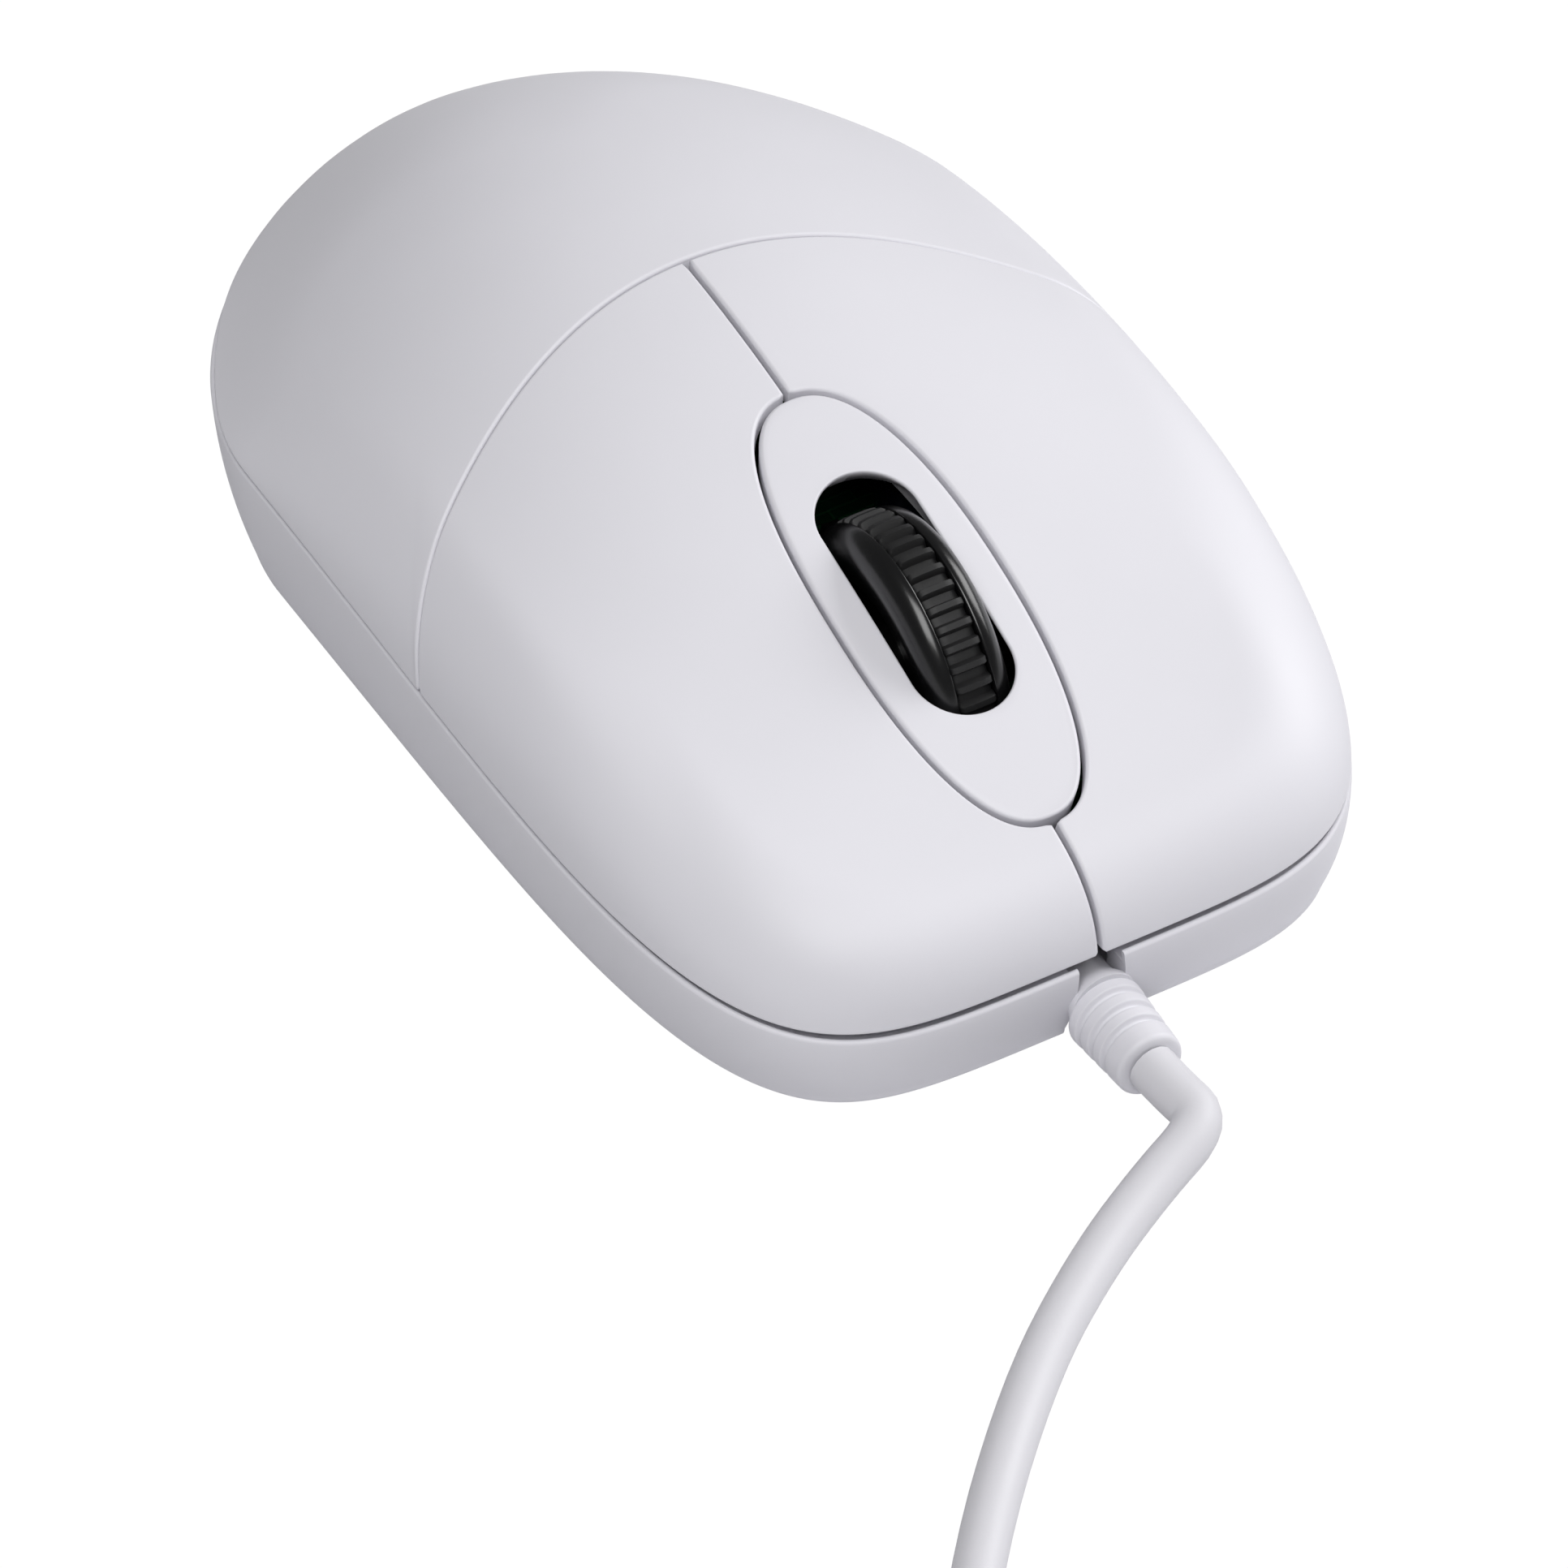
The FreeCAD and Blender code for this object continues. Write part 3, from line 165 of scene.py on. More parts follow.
def outline(turn):
    """The plan outline, a superellipse about (0, widest_y), squarer in front; and its normals."""
    across, along = np.sin(turn), -np.cos(turn)
    power = np.where(along < 0, front_power, rear_power)
    half = body_length / 2 + np.where(along < 0, widest_y, -widest_y)
    size = (np.abs(across) ** power + np.abs(along) ** power) ** (1 / power)
    slope = np.stack([(np.abs(across) / size) ** (power - 1) / (body_width / 2) * np.sign(across),
                      (np.abs(along) / size) ** (power - 1) / half * np.sign(along)], -1)
    slope /= np.linalg.norm(slope, axis=-1, keepdims=True)
    return np.stack([body_width / 2 * across / size, widest_y + half * along / size], -1), slope


def parting(y):
    """Height of the parting line: it rises to the rear and arches a little."""
    t = y / body_length + 0.5
    return parting_front + parting_rise * t + parting_arch * 4 * t * (1 - t)


def even_turns(first, last, count):
    """Turns round the outline whose points lie at equal distances along it."""
    fine = np.linspace(first, last, 4001)
    steps = np.linalg.norm(np.diff(outline(fine)[0], axis=0), axis=1)
    run = np.r_[0, np.cumsum(steps)]
    return np.interp(np.linspace(0, run[-1], count), run, fine)


def joined(name, grid, around=True, sharp=50.0):
    """A mesh over a grid of points in millimetres, its rows closed rings; coinciding points merge."""
    rows, count = grid.shape[:2]
    index = np.arange(rows * count).reshape(rows, count)
    beside = np.roll(index, -1, 1) if around else index[:, 1:]
    index = index if around else index[:, :-1]
    quads = np.stack([index[:-1], beside[:-1], beside[1:], index[1:]], -1).reshape(-1, 4)
    mesh = bpy.data.meshes.new(name)
    mesh.from_pydata((grid.reshape(-1, 3) / 1000).tolist(), [], quads.tolist())
    work = bmesh.new()
    work.from_mesh(mesh)
    bmesh.ops.remove_doubles(work, verts=work.verts, dist=1e-8)
    work.to_mesh(mesh)
    work.free()
    mesh.shade_smooth()
    mesh.set_sharp_from_angle(angle=math.radians(sharp))
    piece = bpy.data.objects.new(name, mesh)
    bpy.context.collection.objects.link(piece)
    return piece


def fitted(piece, paint, body, slot, *nodes):
    """Gives a piece its material and its body, and hides the nodes that it stands for; slot is not
    used.
    """
    piece.data.materials.append(paint)
    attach(piece, body)
    if nodes:
        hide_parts(*nodes)
    return piece


def cut_by(piece, cutters, sharp=32.0):
    """Cuts closed cutters out of a piece for good, and smooths its shading again."""
    for cutter in cutters:
        change = piece.modifiers.new("cut", "BOOLEAN")
        change.operation, change.solver, change.object = "DIFFERENCE", "EXACT", cutter
    shaped = piece.evaluated_get(bpy.context.evaluated_depsgraph_get())
    mesh = bpy.data.meshes.new_from_object(shaped)
    piece.modifiers.clear()
    piece.data = mesh
    for cutter in cutters:
        bpy.data.objects.remove(cutter)
    mesh.shade_smooth()
    mesh.set_sharp_from_angle(angle=math.radians(sharp))


def upright_prism(name, corners, low, high, way="z"):
    """A closed prism over a ring of corners, along z, or along y for corners given as (x, z)."""
    ring = np.array(corners, float)
    middle = ring.mean(0)
    stack = []
    for level, shape in ((low, middle), (low, ring), (high, ring), (high, middle)):
        flat = np.broadcast_to(shape, ring.shape)
        h = np.full(len(ring), level)
        stack.append(np.stack([flat[:, 0], flat[:, 1], h] if way == "z" else
                              [flat[:, 0], h, flat[:, 1]], -1))
    grid = np.array(stack)
    return joined(name, grid if way == "z" else grid[::-1])


def circle(x, y, radius, count=48):
    """Points in a circle, counter-clockwise."""
    a = np.linspace(0, 2 * np.pi, count, endpoint=False)
    return np.stack([x + radius * np.cos(a), y + radius * np.sin(a)], -1)


def base_grid():
    """Rings round the outline, each an inset and a height, from the inside floor out and under.

    The wall leans in by a draft that grows with the square of the depth below the parting line.
    """
    turns = even_turns(0, 2 * np.pi, 561)[:-1]
    edge, normal = outline(turns)
    top = parting(edge[:, 1])
    draft = draft_front - draft_loss * (edge[:, 1] / body_length + 0.5)
    bottom, inside = foot_thick, foot_thick + floor_thick
    spine = np.stack([0 * top, np.clip(edge[:, 1], -spine_reach, spine_reach)], -1)

    def ring(inset, height):
        return np.c_[edge - normal * np.reshape(inset, (-1, 1)), height]

    def lean(height):
        return draft * ((top - height) / (top - foot_thick)) ** 2

    def to_middle(ring_points, shares):
        return [ring_points * (1 - t) + np.c_[spine, ring_points[:, 2]] * t for t in shares]

    wall_in = ring(tongue_in + lean(inside), inside + 0 * top)
    rows = to_middle(wall_in, (1.0, 0.66, 0.33)) + [wall_in]
    tongue_top = tongue_high + tongue_edge
    rows += [ring(inset, top + up) for inset, up in (
        (tongue_in, -tongue_foot), (tongue_in, tongue_high), (tongue_in - tongue_edge, tongue_top),
        (tongue_out + tongue_edge, tongue_top), (tongue_out, tongue_high), (tongue_out, -rebate_deep),
        (rebate_in, -rebate_deep), (rebate_in, -rebate_edge),
        (rebate_in - rebate_edge / 3, -rebate_edge / 3), (rebate_in - rebate_edge, 0.0))]
    for a in np.linspace(0, np.pi / 2, 7):
        rows.append(ring(lip_round * (1 - np.sin(a)), top - lip_round * (1 - np.cos(a))))
    for share in np.linspace(0, 1, 15)[1:]:
        height = top - lip_round + (bottom + heel_round - top + lip_round) * share
        rows.append(ring(lean(height) - lean(top - lip_round), height))
    foot = lean(bottom + heel_round + 0 * top)
    for a in np.linspace(0, np.pi / 2, 8)[1:]:
        rows.append(ring(foot + heel_round * (1 - np.cos(a)),
                         bottom + heel_round * (1 - np.sin(a)) + 0 * top))
    floor = ring(foot + heel_round + floor_edge, bottom + 0 * top)
    rows += [floor] + to_middle(floor, (0.25, 0.5, 0.75, 1.0))
    return np.array(rows)


base = joined("base_case_shell", base_grid())
notch_corners = [(-notch_low_half, notch_low_z), (notch_low_half, notch_low_z),
                 (notch_high_half, notch_high_z), (-notch_high_half, notch_high_z)]
cut_by(base, [upright_prism("notch", notch_corners, notch_front_y, notch_rear_y, "y"),
              upright_prism("well_left", circle(screw_x, screw_y, well_radius), 0, well_top),
              upright_prism("well_right", circle(-screw_x, screw_y, well_radius), 0, well_top),
              upright_prism("window", circle(0, sensor_y, window_radius), 0, window_top)])
patches_per_metre = 60.0        # patches of tone about 17 mm across


def moulded(made, tree, shader, tone, grit_mm, depth_mm, blotch=0.015, roughness=(0.4, 0.5)):
    """Gives a moulded surface its grain: fine grit in the bump, and a slight drift of tone and gloss.

    The tone drifts by a share, blotch, to either side, and the roughness between the two given.
    """
    place = add(tree, "ShaderNodeTexCoord").outputs["Object"]
    grit = add(tree, "ShaderNodeTexNoise", [(place, "Vector")], Scale=1000 / grit_mm, Detail=2.0)
    drift = add(tree, "ShaderNodeTexNoise", [(place, "Vector")], Scale=patches_per_metre,
                Detail=3.0)
    bump = add(tree, "ShaderNodeBump", [(grit.outputs["Fac"], "Height")], Strength=1.0,
               Distance=depth_mm / 1000)
    tree.links.new(bump.outputs["Normal"], shader.inputs["Normal"])
    ramp = add(tree, "ShaderNodeMix", [(drift.outputs["Fac"], "Factor")], data_type="RGBA")
    colours = [s for s in ramp.inputs if s.type == "RGBA"]
    colours[0].default_value = [c * (1 - blotch) for c in tone[:3]] + [1]
    colours[1].default_value = [min(c * (1 + blotch), 1) for c in tone[:3]] + [1]
    tree.links.new([s for s in ramp.outputs if s.type == "RGBA"][0], shader.inputs["Base Color"])
    gloss = add(tree, "ShaderNodeMapRange", [(drift.outputs["Fac"], "Value")], From_Min=0.3,
                From_Max=0.7, To_Min=roughness[0], To_Max=roughness[1])
    tree.links.new(gloss.outputs["Result"], shader.inputs["Roughness"])
    return made


# ABS moulded in a spark-eroded tool: a cool, nearly neutral white with a fine grain, so it is matt
# and shows only broad, soft lights. The grain is near its real third of a millimetre.
white_abs = moulded(*material("moulded_white_abs", IOR=1.54), linear("#d8d7dd"), 0.35, 0.004,
                    roughness=(0.5, 0.58))
fitted(base, white_abs, "case", "white_abs", "base_case")


# ---- Glide feet --------------------------------------------------------------------------------
# Four small pads stuck under the base, cut from PTFE sheet so that the mouse slides on them. Their
# shapes are the frame's own node.
def painted(paint, *names):
    """Gives CAD nodes their material."""
    for name in names:
        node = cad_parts[name].data
        node.materials.clear()
        node.materials.append(paint)


# PTFE skived from a billet: waxy off-white, barely glossy, with faint knife marks.
ptfe = moulded(*material("skived_ptfe", IOR=1.35), linear("#c9c9c6"), 0.6, 0.01, 0.04, (0.3, 0.5))
painted(ptfe, "glide_feet")


# ---- Board and what it carries -----------------------------------------------------------------
# A single green board with three switches, the sensor with its lens and lamp, the wheel's encoder
# pair, a controller, a crystal, capacitors and the cable's header. All are the frame's own nodes.
def metal(name, tone, grain_mm, low, high, stretch=(1, 1, 1)):
    """Bare or plated metal: its gloss and surface vary by a fine noise, drawn out along one axis."""
    made, tree, shader = material(name, Base_Color=linear(tone), Metallic=1.0)
    place = add(tree, "ShaderNodeTexCoord").outputs["Object"]
    drawn = add(tree, "ShaderNodeMapping", [(place, "Vector")])
    drawn.inputs["Scale"].default_value = stretch
    grain = add(tree, "ShaderNodeTexNoise", [(drawn.outputs["Vector"], "Vector")],
                Scale=1000 / grain_mm, Detail=3.0)
    gloss = add(tree, "ShaderNodeMapRange", [(grain.outputs["Fac"], "Value")], To_Min=low,
                To_Max=high)
    bump = add(tree, "ShaderNodeBump", [(grain.outputs["Fac"], "Height")], Strength=0.6,
               Distance=2e-6)
    tree.links.new(gloss.outputs["Result"], shader.inputs["Roughness"])
    tree.links.new(bump.outputs["Normal"], shader.inputs["Normal"])
    return made


# Solder mask screened over copper: glossy dark green, tracks standing out a little and paler. The
# rows of tracks are at the usual pin spacing of 1.27 mm.
laminate, tree, shader = material("green_solder_mask", IOR=1.5, Roughness=0.3)
place = add(tree, "ShaderNodeTexCoord").outputs["Object"]
tracks = add(tree, "ShaderNodeTexBrick", [(place, "Vector")], Scale=1000.0, Brick_Width=4.2,
             Row_Height=1.27, Mortar_Size=0.12, Mortar_Smooth=0.3, Color1=linear("#0d3f22"),
             Color2=linear("#104727"), Mortar=linear("#1d6337"))
tracks.offset = 0.37
raised_tracks = add(tree, "ShaderNodeBump", [(tracks.outputs["Fac"], "Height")], Distance=3e-5)
tree.links.new(tracks.outputs["Color"], shader.inputs["Base Color"])
tree.links.new(raised_tracks.outputs["Normal"], shader.inputs["Normal"])
# Black ABS from a fine-textured tool: satin, a little lighter where it turns away.
satin_black = moulded(*material("satin_black_abs", IOR=1.54), linear("#141415"), 0.3, 0.004,
                      roughness=(0.45, 0.6))
# Natural nylon: warm white and slightly waxy.
white_nylon = moulded(*material("white_nylon", IOR=1.53), linear("#dcdbd4"), 0.3, 0.003,
                      roughness=(0.35, 0.5))
# Cast epoxy dyed red: clear and glossy.
red_epoxy = moulded(*material("clear_red_epoxy", IOR=1.55, Transmission_Weight=0.7),
                    linear("#b81a14"), 1.5, 0.001, roughness=(0.04, 0.1))
# Acrylic from a polished tool: clear as glass.
acrylic = moulded(*material("polished_clear_acrylic", IOR=1.49, Transmission_Weight=0.95),
                  linear("#eef3f5"), 2.0, 0.0005, 0.005, (0.02, 0.05))
# A PVC sleeve shrunk over each can: dark blue, tight and shiny.
sleeve = moulded(*material("shrunk_pvc_sleeve", IOR=1.52), linear("#1b2036"), 0.8, 0.003,
                 roughness=(0.2, 0.3))
# Hot-dipped tin: bright grey with a slightly frosted skin.
solder = metal("solder_tinned_metal", "#c4c5c6", 0.5, 0.25, 0.45)

painted(laminate, "circuit_board")
painted(satin_black, "left_switch", "right_switch", "middle_switch", "middle_plunger",
        "sensor_chip", "led_clip", "controller_chip", "ir_detector", "wheel_carrier")
painted(white_nylon, "left_plunger", "right_plunger", "ir_emitter", "cable_header", "cable_plug")
painted(solder, "switch_pins", "crystal", "detent_spring")
painted(acrylic, "sensor_lens")
painted(red_epoxy, "led")
painted(sleeve, "capacitors")


# ---- Screws ------------------------------------------------------------------------------------
# Two short self-tapping screws hold the board to its posts, and two long ones come up through the
# base into the palm cover. Both pairs are cold-headed steel.
# Zinc plate: cool grey, bright on the heads' edges.
zinc = metal("zinc_plated_steel", "#b9babd", 0.4, 0.2, 0.4)
painted(zinc, "case_screws", "board_screws")


# ---- Wheel -------------------------------------------------------------------------------------
# A ribbed rubber tyre set in a hub of glossy black ABS, whose rims stand out either side of it
# with round shoulders. Axle, bosses and the slotted disc of the encoder are one moulding with it.
wheel_y, wheel_z, wheel_radius = -26.8, 18.5, 11.7
tread_half, rim_half, ribs, rib_depth = 1.6, 3.5, 44, 0.6
flank_steep, gap_share, ribs_reach = 1.9, 0.2, 0.9      # a rib's flanks, the gaps, and their depth
crown_half, tread_root, rim_below, rim_drop = 0.7, wheel_radius - 1.5, 0.2, 2.3
rim_inner, rim_chamfer, web_half, boss_radius, boss_half = 7.2, 0.4, 1.6, 3.2, 3.9
axle_radius, axle_left, axle_right = 1.5, -11.0, 6.4
disc_outside, disc_inside, disc_radius, disc_bore = -10.4, -9.6, 4.6, 1.4


def turned(name, profile, count, centre, axis="x", radial=None):
    """A closed shape of revolution: (along, radius) points turned about an axis through a centre."""
    profile = np.array(profile, float)
    angle = np.linspace(0, 2 * np.pi, count, endpoint=False)
    radius = profile[:, 1:2] * np.ones(count)
    if radial is not None:
        radius = radial(profile, angle)
    along = np.repeat(profile[:, :1], count, 1)
    around = (radius * np.cos(angle), radius * np.sin(angle))
    parts = (along, *around) if axis == "x" else (around[1], along, around[0])
    return joined(name, np.stack(parts, -1) + np.array(centre))


def ribbed(profile, angle):
    """Flat-topped ribs with soft flanks: the radius dips by a clipped, smoothed cosine."""
    wave = np.clip(0.5 + flank_steep * (np.cos(ribs * angle) - gap_share), 0, 1)
    wave = wave * wave * (3 - 2 * wave)
    outer = profile[:, 1:2] > wheel_radius - ribs_reach
    return profile[:, 1:2] - outer * rib_depth * (1 - wave)


tread_side = [(crown_half, wheel_radius), (tread_half - 0.3, wheel_radius - 0.08),
              (tread_half - 0.08, wheel_radius - 0.3), (tread_half, wheel_radius - 0.62),
              (tread_half, tread_root)]
tyre_profile = [(-x, r) for x, r in reversed(tread_side)] + tread_side + [(-tread_half, tread_root)]
tyre = turned("tyre", tyre_profile, ribs * 14, (0, wheel_y, wheel_z), radial=ribbed)
# Moulded rubber filled with carbon black: matt, with a dusty grey where light grazes it.
rubber = moulded(*material("moulded_black_rubber", IOR=1.52), linear("#101011"), 0.2, 0.01,
                 roughness=(0.5, 0.62))
fitted(tyre, rubber, "wheel", "black_rubber", "wheel_tyre")


def rim_half_profile():
    """One side of the hub from the tyre's edge out: a groove, the round shoulder, web and boss."""
    start, lip, soft = tread_half + 0.03, wheel_radius - rim_below, 0.2
    points = [(start, tread_root), (start, lip - 0.3)]
    for a in np.linspace(0.3, 1, 4) * math.pi / 2:
        points.append((start + soft * (1 - math.cos(a)), lip - 0.15 * (1 - math.sin(a))))
    for a in np.linspace(0, 1, 15)[1:] * math.pi / 2:
        points.append((start + soft + (rim_half - start - soft) * math.sin(a),
                       lip - rim_drop * (1 - math.cos(a))))
    points += [(rim_half, rim_inner + rim_chamfer), (rim_half - rim_chamfer, rim_inner),
               (web_half, rim_inner), (web_half, boss_radius), (boss_half, boss_radius),
               (boss_half, axle_radius)]
    return points


rim_side = rim_half_profile()
hub_profile = ([(axle_left, 0), (axle_left, axle_radius)] + [(-x, r) for x, r in reversed(rim_side)]
               + rim_side + [(axle_right, axle_radius), (axle_right, 0)])
hub = turned("wheel_hub_turned", hub_profile[::-1], 160, (0, wheel_y, wheel_z))
# Black ABS from a polished tool: nearly a mirror, softened by handling, so it takes long highlights.
gloss_black = moulded(*material("polished_black_abs", IOR=1.54), linear("#0c0c0d"), 1.2, 0.002,
                      roughness=(0.2, 0.25))
fitted(hub, gloss_black, "wheel", "black_gloss", "wheel_hub")
disc_profile = [(disc_outside, disc_bore), (disc_inside, disc_bore), (disc_inside, disc_radius),
                (disc_outside, disc_radius), (disc_outside, disc_bore)]
disc = turned("encoder_disc", disc_profile, 72, (0, wheel_y, wheel_z))
fitted(disc, gloss_black, "wheel", "black_gloss")


# ---- Wheel bezel -------------------------------------------------------------------------------
# An oval frame of the same white ABS between the buttons, flush with them, with a soft-edged groove
# all round it and a round-ended slot for the wheel.
oval_y, oval_half_long, oval_half_wide, oval_power = -28.6, 20.15, 7.23, 2.36
slot_y, slot_half_long, slot_half_wide, end_share = -28.0, 11.2, 4.25, 0.3
bezel_round, slot_round, bezel_deep, slot_deep, wall_under, slot_under = 0.45, 0.2, 4.0, 0.3, 1.2, 1.1
crown_y, crown_front, crown_rear = 10.7, 15.6, 19.0
side_fall_front, side_fall_change = -0.0024, 0.0224
shoulder_at = (0.0, 45.0, 75.0, 90.0, 180.0)      # degrees round the outline from its front
shoulder_wide = (5.7, 12.3, 6.5, 7.0, 29.5)
shoulder_power = 2.74


def crown(x, y):
    """The top's height along the middle, a cubic, falling by x squared to the sides."""
    t, t0, t1 = y - crown_y, -body_length / 2 - crown_y, body_length / 2 - crown_y
    fall0, fall1 = (body_height - crown_front) / t0 ** 2, (body_height - crown_rear) / t1 ** 2
    fall = fall0 + (fall1 - fall0) * (t - t0) / (t1 - t0)
    cross = side_fall_front + side_fall_change * (y / body_length + 0.5)
    return body_height - fall * t * t - cross * x * x


def ring_of(plan):
    """How far out plan points lie, 1 on the outline, and the ring's change across the shoulder.

    The shoulder's width eases from one stated value to the next round the outline.
    """
    x, y = plan[..., 0], plan[..., 1]
    power, half = outline_power(y), half_length(y)
    u, v = np.abs(x) / (body_width / 2), np.abs(y - widest_y) / half
    ring = np.maximum((u ** power + v ** power) ** (1 / power), 1e-9)
    u, v = u / ring, v / ring
    steep = np.hypot(u ** (power - 1) / (body_width / 2), v ** (power - 1) / half)
    way = np.where(y < widest_y, 1, -1)
    bearing = np.degrees(np.arctan2(u ** (power / 2), way * v ** (power / 2)))
    step = np.clip(np.searchsorted(shoulder_at, bearing) - 1, 0, len(shoulder_at) - 2)
    first, wide = np.array(shoulder_at), np.array(shoulder_wide)
    t = np.clip((bearing - first[step]) / (first[step + 1] - first[step]), 0, 1)
    return ring, steep * (wide[step] + (wide[step + 1] - wide[step]) * t * t * (3 - 2 * t))


def skin(plan):
    """Lifts plan points to the top skin: a superelliptic shoulder between parting line and crown."""
    x, y = plan[..., 0], plan[..., 1]
    ring, shoulder = ring_of(plan)
    share = np.clip((1 - ring) / shoulder, 0, 1)
    low = parting(widest_y + (y - widest_y) / ring)
    rise = (1 - (1 - share) ** shoulder_power) ** (1 / shoulder_power)
    return np.concatenate([plan, (low + (crown(x, y) - low) * rise)[..., None]], -1)


def skin_normal(plan):
    """Unit normals of the skin over plan points that are clear of the outline."""
    step = np.array([[0.01, 0], [0, 0.01]])
    dx = skin(plan + step[0]) - skin(plan - step[0])
    dy = skin(plan + step[1]) - skin(plan - step[1])
    normal = np.cross(dx, dy)
    return normal / np.linalg.norm(normal, axis=-1, keepdims=True)


def oval(grow, angle):
    """The bezel's outline, a superellipse grown all round; the angle runs from the rear to +X side."""
    across, along = np.sin(angle), np.cos(angle)
    size = (np.abs(across) ** oval_power + np.abs(along) ** oval_power) ** (1 / oval_power)
    return np.stack([(oval_half_wide + grow) * across / size,
                     oval_y + (oval_half_long + grow) * along / size], -1)


def slot(grow, angle):
    """A round-ended slot: each end takes the angles that point at it, the sides are shared evenly."""
    straight, wide = slot_half_long - slot_half_wide, slot_half_wide + grow
    turn = np.mod(angle, 2 * np.pi)
    end = np.pi * end_share
    knots = [0, end, np.pi - end, np.pi + end, 2 * np.pi - end, 2 * np.pi]
    bearing = np.interp(turn, knots, [0, 90, 90, 270, 270, 360])
    shift = np.interp(turn, knots, [straight, straight, -straight, -straight, straight, straight])
    bearing = np.radians(bearing)
    return np.stack([wide * np.sin(bearing), slot_y + shift + wide * np.cos(bearing)], -1)


def bezel_grid():
    """Rings from the outer wall's foot over its rounded edge, across, and down the slot's wall."""
    angle = np.linspace(0, -2 * np.pi, 321)[:-1]
    outer, inner = oval(-bezel_round, angle), slot(slot_round, angle)
    face = [skin(outer * (1 - t) + inner * t) for t in np.linspace(0, 1, 13)]
    out_way, in_way = oval(0, angle) - outer, slot(0, angle) - inner
    out_way = np.c_[out_way, 0 * angle] / np.linalg.norm(out_way, axis=1, keepdims=True)
    in_way = np.c_[in_way, 0 * angle] / np.linalg.norm(in_way, axis=1, keepdims=True)
    down, sink = -skin_normal(outer), -skin_normal(inner)
    edge = [face[0] + out_way * bezel_round + down * bezel_deep]
    for a in np.linspace(np.pi / 2, 0, 8)[:-1]:
        edge.append(face[0] + out_way * bezel_round * np.sin(a) + down * bezel_round * (1 - np.cos(a)))
    rim = [face[-1] + in_way * slot_round * np.sin(a) + sink * slot_round * (1 - np.cos(a))
           for a in np.linspace(0, np.pi / 2, 10)[1:]]
    rim += [rim[-1] - [0, 0, slot_deep - slot_round],
            rim[-1] - in_way * slot_under - [0, 0, skin_wall - slot_round],
            edge[0] - out_way * wall_under, edge[0]]
    return np.array(edge + face + rim)


bezel = joined("bezel_frame", bezel_grid())
fitted(bezel, white_abs, "case", "white_abs", "wheel_bezel")


# ---- Buttons and palm cover --------------------------------------------------------------------
# Three thin shells of white ABS that together make the top: two buttons with a slit between them,
# and the rear dome. Each has its own small radius along every edge, seen as a fine line of light.
arc_middle_y, arc_side_y, arc_power = 8.4, -6.4, 2.08
seam_gap, split_gap, bezel_gap = 0.2, 0.42, 0.36
edge_roll = 0.3                                       # the small radius along every edge
gap_front, gap_fall, gap_palm = 0.75, 0.98, 0.3       # the gap over the base, from front to rear
palm_reach, palm_spine_y, button_spine_x = 14.0, 24.0, 19.5
corner_ease, seam_ease = 2.6, 2.2                     # how points crowd towards the loops' corners


def seam(x):
    """The palm seam's y: it bows forwards to the sides."""
    return arc_middle_y - (arc_middle_y - arc_side_y) * np.abs(2 * x / body_width) ** arc_power


def raised(turn, lift):
    """Plan points above the outline's turns, moved in to where the skin is lift above parting."""
    edge = outline(turn)[0]
    centre, shoulder = np.array([0, widest_y]), ring_of(edge)[1]
    least, most = np.zeros(len(edge)), np.full(len(edge), 0.5)
    for _ in range(32):
        share = (least + most) / 2
        plan = centre + (edge - centre) * (1 - share * shoulder)[:, None]
        low = skin(plan)[:, 2] < parting(plan[:, 1]) + lift
        least, most = np.where(low, share, least), np.where(low, most, share)
    return plan


def corner_turn(shift, lift):
    """The turn at which the raised outline meets the palm seam, moved back by shift."""
    turns = np.linspace(1.2, 2.4, 2001)
    plan = raised(turns, np.full(len(turns), lift))
    return np.interp(0, plan[:, 1] - seam(plan[:, 0]) - shift, turns)


def outline_turn(x, y):
    """The turn at which the outline passes the given point on it."""
    return np.arctan2(x / (body_width / 2), (widest_y - y) / half_length(y)) % (2 * np.pi)


def side_x(y):
    """Half the outline's width at y."""
    power = outline_power(y)
    return body_width / 2 * (1 - (np.abs(y - widest_y) / half_length(y)) ** power) ** (1 / power)


def end_y(x, way):
    """The outline's y at x, at its rear for way 1 and at its front for way -1."""
    power = rear_power if way > 0 else front_power
    reach = body_length / 2 - way * widest_y
    return widest_y + way * reach * (1 - (np.abs(x) / body_width * 2) ** power) ** (1 / power)


def shell_grid(edge, spine, wall, roll):
    """A closed shell under the skin, round a plan loop that runs counter-clockwise.

    Columns go from the loop to the spine, close together near it. Out from the loop the skin rolls
    over by a small radius, goes down through the wall and comes back as the inner face.
    """
    a = np.linspace(0, np.pi / 2, 14)
    size = (np.cos(a) ** shoulder_power + np.sin(a) ** shoulder_power) ** (1 / shoulder_power)
    shares = np.r_[(1 - np.cos(a) / size) * 0.5, np.linspace(0.5, 1, 15)[1:]]
    top = skin(edge + (spine - edge) * shares[:, None, None])
    along = np.roll(top, -1, 1) - np.roll(top, 1, 1)
    inward = np.gradient(top, axis=0)
    normal = np.cross(along, inward)
    normal[-1] = skin_normal(spine)
    normal /= np.linalg.norm(normal, axis=-1, keepdims=True)
    out = np.cross(along[0], normal[0])
    out /= np.linalg.norm(out, axis=-1, keepdims=True)
    rim = [top[0] + out * roll * np.sin(b) - normal[0] * roll * (1 - np.cos(b))
           for b in np.linspace(np.pi / 2, 0, 7)[:-1]]
    inner = [top[k] - normal[k] * wall for k in range(len(top) - 1, -1, -1)]
    foot = top[0] + out * roll - normal[0] * wall
    return np.array(inner + [foot] + rim + list(top))


